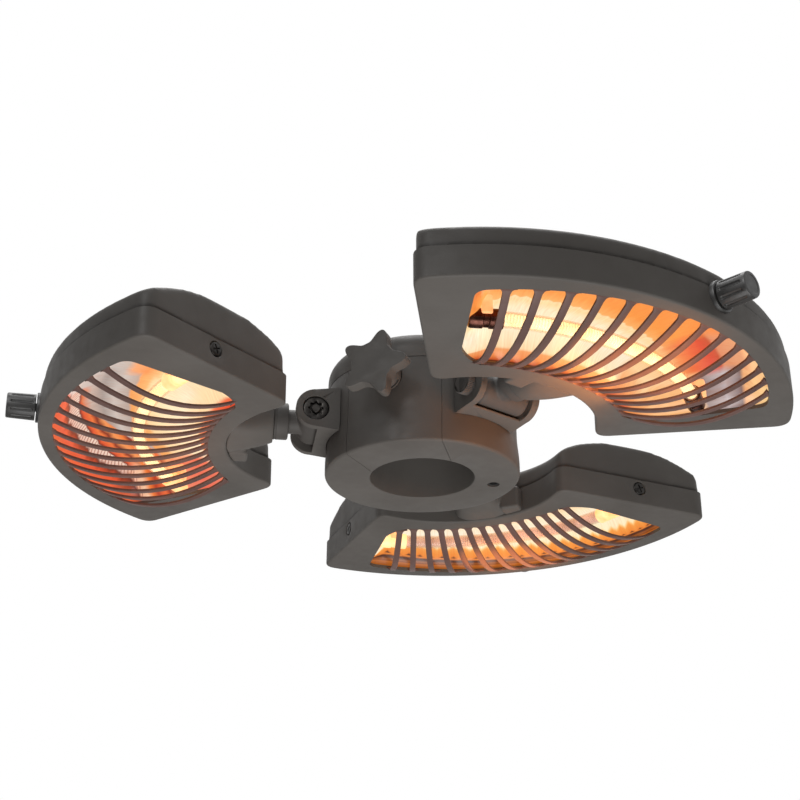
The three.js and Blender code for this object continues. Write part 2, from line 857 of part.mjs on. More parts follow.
function dome(lift, step) {
  const inner = domeInner + step;
  const outer = domeOuter - step;
  const profile = [[inner, 0]];
  domeShares.forEach((share, i) => {
    profile.push([
      inner + (outer - inner) * share,
      shellTop - lift + (domeSpan - shellTop) * domeRiseShares[i],
    ]);
  });
  profile.push([outer, 0]);
  return lathe(profile.reverse(), fineSteps).translate([domeCentre, 0, 0]);
}

function shell() {
  const bottom = partingHeight + gap;
  const outside = fan(headShape, shellStep);
  const edge = fan(headShape, shellStep + shellEdge);
  const inside = fan(headShape, shellStep + shellWall);
  const skin = stack([
    [outside, bottom],
    [outside, shellTop - shellEdge],
    [edge, shellTop],
    [edge, domeSpan + overrun],
  ]);
  const capRoom = stack([[inside, 0], [inside, domeSpan + overrun]]);
  const low = dome(0, -overrun);
  const room = capRoom.intersect(dome(shellWall, shellWall - overrun));
  return skin.intersect(low).subtract(room);
}

// The trough's outside, or with a margin the room inside it.
function trough(margin) {
  const last = reflectorLevels.length - 1;
  return stack(reflectorLevels.map((z, i) => {
    const level = i === last ? z - margin : z;
    return [fan(windowShape, reflectorInsets[i] + margin), i === 0 ? z - overrun * margin : level];
  }));
}

function reflector() {
  return trough(0).subtract(trough(reflectorWall));
}

class TubeArc extends THREE.Curve {
  getPoint(t, target = new THREE.Vector3()) {
    const a = (2 * t - 1) * tubeAngle * degree;
    return target.set(tubeCentre + tubeReach * Math.cos(a), tubeReach * Math.sin(a), tubeHeight);
  }
}

function tube() {
  const section = new THREE.Shape();
  for (let k = 0; k < tubeSides; k += 1) {
    const a = full * k / tubeSides;
    if (k === 0) section.moveTo(tubeRadius, 0);
    else section.lineTo(tubeRadius * Math.cos(a), tubeRadius * Math.sin(a));
  }
  const sweep = { extrudePath: new TubeArc(), steps: tubeSteps, bevelEnabled: false };
  return solidOf(new THREE.ExtrudeGeometry(section, sweep));
}

// A ceramic block round one end of the tube, shaped to the trough's end wall.
function holder(side) {
  const turn = side * (tubeAngle + (holderLength / 2 - holderBite) / tubeReach / degree);
  const block = box(
    tubeReach - holderHalf, tubeReach + holderHalf,
    -holderLength / 2, holderLength / 2,
    holderBottom, holderTop,
  );
  const bite = alongY(
    rod(tubeRadius + holderPlay, -holderLength, holderBite + gap - holderLength / 2, coarseSteps),
    tubeReach, 0, tubeHeight,
  );
  const cut = side > 0 ? block.subtract(bite) : block.subtract(bite.mirror([0, 1, 0]));
  const standing = cut.rotate([0, 0, turn]).translate([tubeCentre, 0, 0]);
  return standing.intersect(trough(reflectorWall + 2 * gap));
}

function switchBody() {
  const block = box(-switchHalf, switchHalf, -switchHalf, switchHalf, switchBack, switchFront);
  return onWall(block.add(rod(stemRadius, switchFront - weld, stemEnd, coarseSteps)));
}

function dial() {
  let body = lathe([
    [0, dialStart],
    [dialRadius, dialStart],
    [dialTipRadius, dialEnd - weld],
    [dialTipRadius - weld, dialEnd],
    [0, dialEnd],
  ], roundSteps);
  for (let i = 0; i < dialFlutes; i += 1) {
    const turn = full * i / dialFlutes;
    body = body.subtract(rod(dialFluteRadius, dialStart - overrun, dialEnd + overrun, fluteSteps)
      .translate([dialRadius * Math.cos(turn), dialRadius * Math.sin(turn), 0]));
  }
  return onWall(body.subtract(rod(stemRadius + gap, 0, stemEnd + gap, coarseSteps)));
}

function sideScrew(side) {
  const start = -sideRecessDepth + gap;
  const head = rod(sideHeadRadius, start, start + sideHeadHeight, coarseSteps);
  return onSide(head.add(rod(sideShankRadius, start - sideShankLength, start + weld, coarseSteps)), side);
}

const heads = [
  ['right', rightAzimuth, rightDroop],
  ['back', backAzimuth, backDroop],
  ['left', leftAzimuth, leftDroop],
];
for (const [word, azimuth, droop] of heads) {
  const fixed = (name, solid, finish) => add(`${name}_${word}`, place(solid, azimuth), finish);
  const hung = (name, solid, finish) => add(`${name}_${word}`, place(solid, azimuth, droop), finish);
  fixed('bracket', bracket(), 'housing');
  fixed('pivot_bolt', pivotBolt(), 'black');
  fixed('pivot_nut', pivotNut(), 'black');
  hung('arm', arm(), 'housingDark');
  hung('collar', collar(), 'housingDark');
  hung('neck', neck(), 'housing');
  hung('tray', tray(), 'housing');
  hung('shell', shell(), 'housing');
  hung('reflector', reflector(), 'reflector');
  hung('tube', tube(), 'tube');
  hung('holder_near', holder(1), 'ceramic');
  hung('holder_far', holder(-1), 'ceramic');
  hung('switch', switchBody(), 'black');
  hung('dial', dial(), 'black');
  hung('side_screw_near', sideScrew(1), 'black');
  hung('side_screw_far', sideScrew(-1), 'black');
}

export default heater;
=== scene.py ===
import math
import bmesh
import bpy
from mathutils import Matrix, Vector


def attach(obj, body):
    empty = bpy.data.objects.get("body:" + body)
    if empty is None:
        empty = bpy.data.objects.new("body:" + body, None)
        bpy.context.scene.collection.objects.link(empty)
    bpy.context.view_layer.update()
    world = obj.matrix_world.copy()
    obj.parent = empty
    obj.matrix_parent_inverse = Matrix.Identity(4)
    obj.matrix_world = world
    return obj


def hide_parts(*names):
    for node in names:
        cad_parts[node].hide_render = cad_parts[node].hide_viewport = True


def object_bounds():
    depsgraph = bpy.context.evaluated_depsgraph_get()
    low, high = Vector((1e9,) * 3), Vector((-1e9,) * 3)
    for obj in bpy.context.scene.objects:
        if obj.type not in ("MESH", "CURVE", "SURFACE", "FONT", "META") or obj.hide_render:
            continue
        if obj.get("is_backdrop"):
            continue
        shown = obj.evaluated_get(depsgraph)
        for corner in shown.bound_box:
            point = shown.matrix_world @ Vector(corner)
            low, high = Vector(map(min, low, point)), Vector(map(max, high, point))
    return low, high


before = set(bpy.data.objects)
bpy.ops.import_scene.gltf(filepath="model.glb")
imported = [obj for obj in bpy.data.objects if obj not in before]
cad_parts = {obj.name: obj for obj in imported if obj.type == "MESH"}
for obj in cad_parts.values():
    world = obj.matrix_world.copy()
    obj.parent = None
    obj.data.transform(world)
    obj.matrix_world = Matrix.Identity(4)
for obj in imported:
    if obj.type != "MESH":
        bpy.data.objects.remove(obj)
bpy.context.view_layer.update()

mm = 0.001

# Each head: its direction round the hub and its droop about the pivot, in degrees
heads = {
    "right": {"azimuth": -50.5, "droop": -0.2},
    "back": {"azimuth": 69.5, "droop": 0.9},
    "left": {"azimuth": 189.5, "droop": 0.5},
}
pivot = {"reach": 81.5, "height": 38.7}


# Small helpers for working on one piece

def activate(piece):
    bpy.ops.object.select_all(action="DESELECT")
    piece.select_set(True)
    bpy.context.view_layer.objects.active = piece


def edit(piece, everything=False):
    activate(piece)
    bpy.ops.object.mode_set(mode="EDIT")
    if everything:
        bpy.ops.mesh.select_all(action="SELECT")


def leaveEdit():
    bpy.ops.object.mode_set(mode="OBJECT")


def pick(piece, kind, test):
    # selects the vertices, edges or faces for which test is true, and nothing else
    bpy.ops.mesh.select_mode(type=kind)
    bpy.ops.mesh.select_all(action="DESELECT")
    mesh = bmesh.from_edit_mesh(piece.data)
    items = {"VERT": mesh.verts, "EDGE": mesh.edges, "FACE": mesh.faces}[kind]
    for item in items:
        if test(item):
            item.select_set(True)
    bmesh.update_edit_mesh(piece.data)


def onRing(edge, radius, height, slack=0.02):
    # true for an edge that lies on a circle round the z axis
    places = [vertex.co / mm for vertex in edge.verts]
    return all(abs(math.hypot(p.x, p.y) - radius) < slack and abs(p.z - height) < slack for p in places)


def atHeight(edge, height, slack=0.02):
    return all(abs(vertex.co.z / mm - height) < slack for vertex in edge.verts)


def roundEdges(piece, test, size, segments):
    # bevels the edges for which test is true
    edit(piece)
    pick(piece, "EDGE", test)
    bpy.ops.mesh.bevel(offset=size * mm, segments=segments, affect="EDGES")
    leaveEdit()


def closeUp(reach=0.004):
    # welds the points of the mesh in edit mode that lie within this many millimetres
    bpy.ops.mesh.select_all(action="SELECT")
    bpy.ops.mesh.remove_doubles(threshold=reach * mm)


def facingOut(piece):
    edit(piece)
    closeUp()
    bpy.ops.mesh.delete_loose(use_verts=True, use_edges=True, use_faces=False)
    bpy.ops.mesh.select_all(action="SELECT")
    bpy.ops.mesh.normals_make_consistent(inside=False)
    leaveEdit()


def named(name):
    piece = bpy.context.object
    piece.name = piece.data.name = name
    return piece


def setOut(piece, points):
    # moves the vertices to the points, given in millimetres
    for vertex, point in zip(piece.data.vertices, points):
        vertex.co = Vector(point) * mm


def outlineOf(name, points, fill="NOTHING"):
    # a circle whose vertices are set out along the points
    bpy.ops.object.select_all(action="DESELECT")
    bpy.ops.mesh.primitive_circle_add(vertices=len(points), radius=mm, fill_type=fill)
    piece = named(name)
    setOut(piece, points)
    return piece


def plate(name, outline, low, high):
    # a flat outline in x and y, drawn up from one height to another
    piece = outlineOf(name, [(x, y, low) for x, y in outline], "NGON")
    edit(piece, everything=True)
    bpy.ops.mesh.extrude_region_move(
        TRANSFORM_OT_translate={"value": (0, 0, (high - low) * mm)})
    leaveEdit()
    facingOut(piece)
    return piece


def turned(name, profile, steps=96, place=None):
    # a closed profile of radius and height, spun round the z axis
    piece = outlineOf(name, [(radius, 0, height) for radius, height in profile])
    edit(piece, everything=True)
    bpy.ops.mesh.spin(steps=steps, angle=math.tau, center=(0, 0, 0), axis=(0, 0, 1))
    leaveEdit()
    facingOut(piece)
    settle(piece, place)
    return piece


def rod(name, radius, low, high, steps=64, place=None):
    return turned(name, [(0, low), (radius, low), (radius, high), (0, high)], steps, place)


def lofted(name, rings, closed=True):
    # a grid wrapped round closed rings of equally many points, then filled at both ends
    bpy.ops.object.select_all(action="DESELECT")
    bpy.ops.mesh.primitive_grid_add(x_subdivisions=len(rings[0]), y_subdivisions=len(rings) - 1, size=mm)
    piece = named(name)
    setOut(piece, [point for ring in rings for point in ring + ring[:1]])
    edit(piece)
    closeUp()
    if closed:
        bpy.ops.mesh.select_all(action="SELECT")
        bpy.ops.mesh.fill_holes(sides=0)
    leaveEdit()
    facingOut(piece)
    return piece


def block(name, low, high, round=0.0):
    # a cube stretched between two corners, with its edges bevelled
    bpy.ops.object.select_all(action="DESELECT")
    bpy.ops.mesh.primitive_cube_add(size=1, location=(0, 0, 0))
    piece = named(name)
    middle = (Vector(low) + Vector(high)) / 2 * mm
    size = (Vector(high) - Vector(low)) * mm
    settle(piece, Matrix.Translation(middle) @ Matrix.Diagonal((*size, 1)))
    if round:
        edit(piece, everything=True)
        bpy.ops.mesh.bevel(offset=round * mm, segments=3, affect="EDGES")
        leaveEdit()
    return piece


def settle(piece, place=None):
    # puts the piece at a place and then works that place into its mesh
    if place is not None:
        piece.matrix_world = place
    activate(piece)
    bpy.ops.object.transform_apply(location=True, rotation=True, scale=True)


def copyOf(piece, name):
    twin = piece.copy()
    twin.data = piece.data.copy()
    twin.name = twin.data.name = name
    bpy.context.scene.collection.objects.link(twin)
    return twin


def joined(name, parts):
    activate(parts[0])
    for part in parts:
        part.select_set(True)
    bpy.ops.object.join()
    return named(name)


def applied(piece, kind, **settings):
    # sets up one modifier and works it into the mesh
    modifier = piece.modifiers.new(kind.lower(), kind)
    for name, value in settings.items():
        setattr(modifier, name, value)
    activate(piece)
    bpy.ops.object.modifier_apply(modifier=modifier.name)


def combine(piece, tool, operation="DIFFERENCE"):
    applied(piece, "BOOLEAN", operation=operation, solver="EXACT", object=tool)
    bpy.data.objects.remove(tool)


def bevelled(piece, width, angle=35, segments=3):
    applied(piece, "BEVEL", width=width * mm, segments=segments, limit_method="ANGLE",
            angle_limit=math.radians(angle), miter_outer="MITER_ARC")


def cast(piece, grain, rounds):
    # one closed skin over everything, then smoothed, as a casting's inside corners are
    applied(piece, "REMESH", mode="VOXEL", voxel_size=grain * mm)
    applied(piece, "SMOOTH", factor=0.5, iterations=rounds)


def shaded(piece, angle=32):
    activate(piece)
    bpy.ops.object.shade_smooth_by_angle(angle=math.radians(angle))


def dress(piece, material, body, slotName, *nodes):
    piece.data.materials.clear()
    piece.data.materials.append(material)
    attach(piece, body)
    if nodes:
        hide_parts(*nodes)


def moved(x=0.0, y=0.0, z=0.0):
    return Matrix.Translation(Vector((x, y, z)) * mm)


def spun(degrees, axis="Z"):
    return Matrix.Rotation(math.radians(degrees), 4, axis)


def turnAlong(axis, x=0.0, y=0.0, z=0.0):
    # the place for a body made along z that should lie along x or y
    return moved(x, y, z) @ {"x": spun(90, "Y"), "y": spun(-90, "X")}[axis]


def headPlace(word, hangs=True):
    spot = moved(pivot["reach"], 0, pivot["height"])
    droop = spun(heads[word]["droop"] if hangs else 0, "Y")
    return spun(heads[word]["azimuth"]) @ spot @ droop @ spot.inverted()


def onHeads(piece, material, slotName, *nodes, body="head", hangs=True):
    # sets one copy of a piece, made in a head's own frame, on each of the three heads
    name = piece.name
    for word in heads:
        twin = copyOf(piece, f"{name}_{word}")
        settle(twin, headPlace(word, hangs))
        rider = body if body == "hub" else f"{body}_{word}"
        finish = material[word] if isinstance(material, dict) else material
        dress(twin, finish, rider, slotName, *[f"{node}_{word}" for node in nodes])
    bpy.data.objects.remove(piece)


def softCurve(points, steps):
    # a smooth line through the points, with steps pieces between each two
    line = []
    for i in range(len(points) - 1):
        before = points[max(i - 1, 0)]
        after = points[min(i + 2, len(points) - 1)]
        for k in range(steps):
            t = k / steps
            line.append(tuple(
                0.5 * (2 * b + (c - a) * t + (2 * a - 5 * b + 4 * c - d) * t ** 2
                       + (3 * b - a - 3 * c + d) * t ** 3)
                for a, b, c, d in zip(before, points[i], points[i + 1], after)))
    return line + [tuple(points[-1])]


def quarterTurn(steps):
    # the sine and cosine at even steps along a quarter turn
    turns = [math.pi / 2 * k / steps for k in range(steps + 1)]
    return [(math.sin(turn), math.cos(turn)) for turn in turns]


def roundOutline(steps, reachAt, start=0.0):
    # points round the z axis, each as far out as reachAt says for its turn
    turns = [math.tau * k / steps for k in range(steps)]
    return [(reachAt(turn) * math.cos(turn + start), reachAt(turn) * math.sin(turn + start)) for turn in turns]


# Finishes

def toLinear(hexColour):
    parts = [int(hexColour[i:i + 2], 16) / 255 for i in (1, 3, 5)]
    linear = [c / 12.92 if c <= 0.04045 else ((c + 0.055) / 1.055) ** 2.4 for c in parts]
    return (*linear, 1.0)


def addNode(tree, kind, settings=None, inputs=None):
    node = tree.nodes.new(f"ShaderNode{kind}")
    for name, value in (settings or {}).items():
        setattr(node, name, value)
    for name, value in (inputs or {}).items():
        if isinstance(value, bpy.types.NodeSocket):
            tree.links.new(value, node.inputs[name])
        else:
            node.inputs[name].default_value = value
    return node


def startMaterial(name, base):
    material = bpy.data.materials.new(name)
    material.use_nodes = True
    tree = material.node_tree
    shader = tree.nodes["Principled BSDF"]
    for socket, value in base.items():
        shader.inputs[socket].default_value = value
    return material, tree, shader


def noise(tree, place, size, detail):
    # noise whose features are this many millimetres wide
    return addNode(tree, "TexNoise", None, {
        "Vector": place, "Scale": 1 / (size * mm), "Detail": detail}).outputs["Fac"]


def spread(tree, value, low, high, toLow=0.0, toHigh=1.0):
    return addNode(tree, "MapRange", None, {
        "Value": value, "From Min": low, "From Max": high, "To Min": toLow, "To Max": toHigh}).outputs["Result"]


# Each finish: what its shader starts from, then in millimetres the size of its slow drift of
# shade, the size of its duller patches with the roughness they range over, and the size, depth
# and strength of its bumps
finishes = {
    # die cast and powder coated: matt, with a fine orange peel (really 0.4 mm, drawn so that it shows)
    "powderCoatedAluminium": {
        "base": {"IOR": 1.5, "Specular IOR Level": 0.25},
        "drift": 60, "dull": (9, 0.52, 0.64), "bumps": (1.1, 0.05, 0.35)},
    # the same coat with the tube's warm glow painted into its colour, on the bars in front of the tube
    "powderCoatWithPaintedGlow": {
        "base": {"IOR": 1.5, "Metallic": 0.0},
        "drift": 30, "dull": (6, 0.5, 0.62), "bumps": (1.1, 0.05, 0.35)},
    # glass filled nylon from a spark eroded mould: near black, an even fine grain, dull shine
    "mouldedBlackNylon": {
        "base": {"IOR": 1.53, "Metallic": 0.0},
        "drift": 14, "dull": (4, 0.38, 0.52), "bumps": (0.7, 0.04, 0.4)},
    # moulded rubber: black, soft sheen, slightly dusty
    "mouldedRubber": {
        "base": {"IOR": 1.52, "Metallic": 0.0},
        "drift": 8, "dull": (5, 0.7, 0.85), "bumps": (0.9, 0.05, 0.4)},
    # black oxide over turned steel: dark, with faint brightness where tools have touched it
    "blackenedSteel": {
        "base": {"Metallic": 1.0},
        "drift": 5, "dull": (2, 0.34, 0.5), "bumps": (0.6, 0.02, 0.3)},
    # bright zinc on rolled thread: cool grey with a cloudy passivation
    "zincPlatedSteel": {
        "base": {"Metallic": 1.0},
        "drift": 6, "dull": (3, 0.28, 0.42), "bumps": (0.8, 0.02, 0.3)},
    # steel cap at the tube's end, browned by heat, with a dull shine
    "scorchedSteel": {
        "base": {"Metallic": 1.0},
        "drift": 6, "dull": (4, 0.25, 0.4), "bumps": (0.8, 0.03, 0.3)},
    # resistance wire at full heat: yellow white, cooler between the turns; on what it lights, the same finish
    # paints the tube's light as a glow
    "glowingWire": {
        "base": {"Metallic": 0.0, "Roughness": 0.6, "Emission Strength": 1.15},
        "drift": 12, "glows": True, "bumps": (1.5, 0.05, 0.3)},
}


def finished(kind, name, light, dark):
    finish = finishes[kind]
    material, tree, shader = startMaterial(name, finish["base"])
    place = addNode(tree, "TexCoord").outputs["Object"]
    ramp = addNode(tree, "ValToRGB", None, {"Fac": noise(tree, place, finish["drift"], 3.0)})
    for element, position, colour in zip(ramp.color_ramp.elements, (0.32, 0.68), (dark, light)):
        element.position = position
        element.color = toLinear(colour)
    tree.links.new(ramp.outputs["Color"], shader.inputs["Base Color"])
    if finish.get("glows"):
        tree.links.new(ramp.outputs["Color"], shader.inputs["Emission Color"])
    if "dull" in finish:
        size, low, high = finish["dull"]
        tree.links.new(spread(tree, noise(tree, place, size, 4.0), 0.3, 0.7, low, high), shader.inputs["Roughness"])
    size, depth, strength = finish["bumps"]
    bump = addNode(tree, "Bump", None, {
        "Height": noise(tree, place, size, 2.0), "Distance": depth * mm, "Strength": strength})
    tree.links.new(bump.outputs["Normal"], shader.inputs["Normal"])
    return material


housingCoat = finished("powderCoatedAluminium", "powderCoatedAluminium", "#615d59", "#57534f")
armCoat = finished("powderCoatedAluminium", "darkPowderCoatedAluminium", "#55514e", "#4a4744")
# the grille's colour has the tube's warm glow painted into it
grilleCoat = finished("powderCoatWithPaintedGlow", "powderCoatWithPaintedGlow", "#6c5049", "#5c423c")
blackNylon = finished("mouldedBlackNylon", "mouldedBlackNylon", "#2f2e2d", "#242322")
blackRubber = finished("mouldedRubber", "mouldedRubber", "#2c2b2a", "#212020")
blackSteel = finished("blackenedSteel", "blackenedSteel", "#3a3836", "#232120")
zincSteel = finished("zincPlatedSteel", "zincPlatedSteel", "#b9b8b4", "#94928e")
# the tube's full light is painted as a glow on the saddles' fired steatite and on two heads' caps
steatiteWithPaintedGlow = finished("glowingWire", "steatiteWithPaintedGlow", "#f0b27c", "#dd8f58")
capWithPaintedGlow = finished("glowingWire", "capWithPaintedGlow", "#f6cd96", "#eba96a")
capSteels = {
    "right": finished("scorchedSteel", "scorchedSteel", "#6b463c", "#3f2620"),
    "left": capWithPaintedGlow,
    "back": capWithPaintedGlow,
}
# the back head's copy of the wire's glow is painted darker and pinker: a painted shade
hotWires = {
    "right": finished("glowingWire", "glowingWire_right", "#fff3d2", "#fde3ac"),
    "left": finished("glowingWire", "glowingWire_left", "#fdeec6", "#fbd9a0"),
    "back": finished("glowingWire", "glowingWire_back", "#c9a296", "#8e6258"),
}

# fused quartz, clear, with a warm tint in its colour that paints the wire's glow showing through it
tubeQuartz, tree, shader = startMaterial("clearQuartz", {
    "IOR": 1.46, "Metallic": 0.0, "Alpha": 0.28, "Base Color": toLinear("#f4d9b8")})
cloud = noise(tree, addNode(tree, "TexCoord").outputs["Object"], 8, 4.0)
tree.links.new(spread(tree, cloud, 0.3, 0.7, 0.04, 0.1), shader.inputs["Roughness"])

# matt pale studio floor
paleFloor = startMaterial("mattPaleFloor", {"Roughness": 0.9, "Base Color": toLinear("#f1f0ee")})[0]


# Bands of painted light on the reflector. Reaches are in millimetres from the centre of the tube's arc, angles in
# degrees round it. Near the outer wall the bands follow the window's edge, which has its own centre.
bands = {
    "centre": 0.26, "edgeCentre": 0.786, "edgeShift": 52.6, "unit": 100.0, "edgeFrom": 200.0, "edgeTo": 222.0,
    "low": 125.0, "high": 245.0, "tooth": 1.25, "calmFrom": 140.0, "calmTo": 160.0, "slantFrom": 225.0,
    # noise drawn out along the bands and across them: its scale by angle and by reach, its detail
    "wandering": (0.35, 0.05, 3.0), "rolling": (3.2, 0.09, 2.0),
}
paintedHatch = {"byAngle": 3.3, "byReach": 0.9, "share": 0.32, "until": 8.0, "strength": 0.75}


def reflectorWithPaintedGlow(name, zones, teeth, roaming, drop, paintedHatchStrip=None):
    # bright rolled aluminium at full heat, with the tube's light painted on it as a glow: in bands that follow
    # the tube's arc, with painted teeth where the bands meet and fine rolling streaks painted across them
    material, tree, shader = startMaterial(name, {
        "Metallic": 0.0, "Roughness": 0.35, "Emission Strength": 1.0, "Base Color": toLinear("#3a2a20")})

    def count(operation, a, b=None):
        node = addNode(tree, "Math", {"operation": operation})
        for socket, value in zip(node.inputs, (a, b)):
            if isinstance(value, bpy.types.NodeSocket):
                tree.links.new(value, socket)
            elif value is not None:
                socket.default_value = value
        return node.outputs[0]

    def product(*factors):
        result = factors[0]
        for factor in factors[1:]:
            result = count("MULTIPLY", result, factor)
        return result

    def mixed(factor, a, b, **settings):
        node = addNode(tree, "Mix", {"data_type": "RGBA", **settings}, {"Factor": factor})
        tree.links.new(a, node.inputs["A"])
        if isinstance(b, str):
            node.inputs["B"].default_value = toLinear(b)
        else:
            tree.links.new(b, node.inputs["B"])
        return node.outputs["Result"]

    def streaks(alongAngle, alongReach, detail):
        stretched = addNode(tree, "CombineXYZ", None, {
            "X": product(angle, alongAngle), "Y": product(reach, alongReach)})
        return addNode(tree, "TexNoise", None, {
            "Vector": stretched.outputs[0], "Scale": 1.0, "Detail": detail}).outputs["Fac"]

    # the place in the head's own frame, in units of 100 mm
    place = addNode(tree, "UVMap", {"uv_map": "headPlace"}).outputs["UV"]
    spot = addNode(tree, "SeparateXYZ", None, {"Vector": place})
    along, across = spot.outputs["X"], spot.outputs["Y"]

    def reachFrom(centre):
        away = count("SUBTRACT", along, centre)
        square = count("ADD", product(away, away), product(across, across))
        return away, product(count("SQRT", square), bands["unit"])

    fromCentre, reach = reachFrom(bands["centre"])
    angle = product(count("ARCTAN2", across, fromCentre), 180 / math.pi)
    atEdge = count("ADD", reachFrom(bands["edgeCentre"])[1], bands["edgeShift"])
    atEdge = count("ADD", atEdge, product(angle, drop))
    share = spread(tree, reach, bands["edgeFrom"], bands["edgeTo"])
    reach = count("ADD", reach, product(count("SUBTRACT", atEdge, reach), share))

    # painted teeth a few millimetres deep, then a slow wandering of the painted bands
    depth, teethFrom, teethTo = teeth
    within = product(count("GREATER_THAN", reach, teethFrom), count("LESS_THAN", reach, teethTo))
    tooth = product(count("PINGPONG", angle, bands["tooth"]), depth / bands["tooth"], within)
    calm = spread(tree, reach, bands["calmFrom"], bands["calmTo"])
    wander = product(count("SUBTRACT", streaks(*bands["wandering"]), 0.5), roaming, calm)
    jagged = count("ADD", count("ADD", reach, tooth), wander)
    shade = None
    for stops, angleFrom, angleTo, slant in zones:
        ramp = addNode(tree, "ValToRGB", None, {"Fac": spread(tree, jagged, bands["low"], bands["high"])})
        elements = ramp.color_ramp.elements
        while len(elements) < len(stops):
            elements.new(1.0)
        for element, (at, colour) in zip(elements, stops):
            element.position = (at - bands["low"]) / (bands["high"] - bands["low"])
            element.color = toLinear(colour)
        if shade is None:
            shade = ramp.outputs["Color"]
            continue
        bent = count("ADD", angle, product(wander, 0.7))
        if slant:
            bent = count("ADD", bent, product(count("SUBTRACT", bands["slantFrom"], reach), slant))
        shade = mixed(spread(tree, bent, angleFrom, angleTo), shade, ramp.outputs["Color"])
    if paintedHatchStrip:
        # painted slanting marks of light inside one strip, on one side of the head
        low, high, gap = paintedHatchStrip
        phase = count("ADD", product(angle, paintedHatch["byAngle"]), product(jagged, paintedHatch["byReach"]))
        mark = product(
            count("LESS_THAN", count("PINGPONG", phase, gap), gap * paintedHatch["share"]),
            count("GREATER_THAN", jagged, low), count("LESS_THAN", jagged, high),
            count("LESS_THAN", angle, paintedHatch["until"]), paintedHatch["strength"])
        shade = mixed(mark, shade, "#a45a4c")
    # rolling streaks about 1 mm apart, painted into the glow, drawn out along the bars' direction
    faint = spread(tree, streaks(*bands["rolling"]), 0.35, 0.65, 0.0, 0.26)
    tree.links.new(mixed(faint, shade, "#f0a468", blend_type="MULTIPLY"), shader.inputs["Emission Color"])
    return material


# For each head's painted glow: its teeth, how far its bands wander and drop and its painted hatch strip, then its
# zones.
# A zone has stops of reach and colour, the angles between which it comes in, and its edge's slant.
leftInner = [(125, "#7a2e1c"), (132, "#e8603a"), (136.5, "#ef8350"), (138.5, "#fbd9a6"), (150, "#fdf0cf")]
leftOuter = [(224.8, "#f1dccb"), (230, "#dfbfb0"), (231, "#5a1610"), (234, "#e4552e"), (242, "#ee6c40")]
paintedGlowPerHead = {
    "right": (((1.8, 150, 200), 2.0, 0.0), [
        ([(125, "#3b2415"), (130.6, "#7a4c28"), (131.2, "#2e130c"), (132.2, "#c9592c"), (135, "#ee8f4e"),
          (138.2, "#f3a66a"), (138.8, "#fde2b4"), (142, "#fdeec8"), (152, "#fff5da"), (163, "#fff0cc"),
          (171, "#fde0a8"), (174.5, "#ffe3b0"), (175.6, "#f9b469"), (186, "#f59a45"), (210, "#f08c3c"),
          (226, "#e47a36"), (241, "#b0602c")], 0, 1, 0),
        ([(125, "#3b2415"), (131.2, "#2e130c"), (134, "#d9603a"), (140, "#f3a66a"), (150, "#fbd9a4"),
          (170, "#f8c284"), (178, "#f3955a"), (188, "#ea6a40"), (198, "#dd4a30"), (204, "#c8522f"),
          (207, "#dc8f66"), (226, "#e3a070"), (234, "#f2c48c"), (243, "#f3c27e")], 15, 19, 0),
        ([(125, "#3b2415"), (131.2, "#2e130c"), (134, "#e88a48"), (150, "#f6b878"), (186, "#f7c48c"),
          (190, "#8d7d7c"), (205, "#b9aeb0"), (220, "#7d6a6a"), (224, "#f0b27c"), (243, "#f9d89a")],
         29.5, 31, 0)]),
    "left": (((0.0, 215, 233), 5.0, 0.0, (224.6, 230.4, 1.8)), [
        ([*leftInner, (166, "#fdeac0"), (176, "#fbdca8"), (179, "#f6b772"), (185, "#f5a860"),
          (187, "#b7aaa2"), (196, "#cbc4be"), (208, "#a49c97"), (218, "#c6beb9"), (240, "#d3cdc8")], 0, 1, 0),
        ([*leftInner, (166, "#fdeac0"), (178, "#fbdca8"), (181, "#f6b772"), (188, "#f5a860"),
          (190, "#b7aaa2"), (200, "#cbc4be"), (208, "#a49c97"), (216, "#c6b3a8"), (222, "#e07a48"),
          (224, "#8a2a18"), *leftOuter], 9, 7, 0),
        ([*leftInner, (168, "#fdeac0"), (181, "#fbdca8"), (184, "#f4a662"), (190, "#ee7a40"),
          (196, "#e8602c"), (201, "#7a1a10"), (205, "#f07d34"), (211, "#f29a58"), (215, "#7d1c10"),
          (218, "#ee7a3c"), (222, "#e0562c"), (224, "#6e1a10"), *leftOuter], 5, 3, 0.893),
        ([(125, "#7a2e1c"), (132, "#e8502f"), (138, "#ef7f63"), (160, "#ec6f58"), (178, "#f08a6a"),
          (186, "#f4a16c"), (192, "#8e2214"), (196, "#ea6a34"), (204, "#b2351c"), (212, "#f07d34"),
          (220, "#f2c7a4"), (228, "#e9b090"), (231, "#5a1610"), (242, "#ee6c40")], -28, -30.5, 0),
        ([(125, "#7a2e1c"), (132, "#e8502f"), (136.0, "#f2734a"), (138, "#fbdfae"), (160, "#fdeec8"),
          (171, "#fce0a8"), (175, "#f8c483"), (184, "#f29450"), (194, "#f0a873"), (199, "#bdb7b2"),
          (216, "#cfcac6"), (238, "#d8d4d0")], 14, 17, 0)]),
    "back": (((1.5, 222, 235.0), 1.0, 0.06), [
        ([(125, "#8e4718"), (134, "#f0a45a"), (138, "#fbdcae"), (190, "#fbdcae"), (206, "#fdeecb"),
          (216, "#fff4dc"), (230.6, "#fff0c8"), (231.4, "#fbcf86"), (232.2, "#f3a048"), (235.4, "#ee8a33"),
          (236.0, "#3a160d"), (237.2, "#4e2412"), (238.2, "#96531f"), (239.6, "#7e4119"), (240.2, "#bb6a28"),
          (242, "#a35a20")], 0, 1, 0)]),
}
# each head's reflector has the tube's light painted on it as glowing bands
reflectorsWithPaintedGlow = {word: reflectorWithPaintedGlow(f"glowingAluminium_{word}", zones, *teethAndRoaming)
                 for word, (teethAndRoaming, zones) in paintedGlowPerHead.items()}
print("finishes ready")

# Camera, fitted to the photograph by its perspective

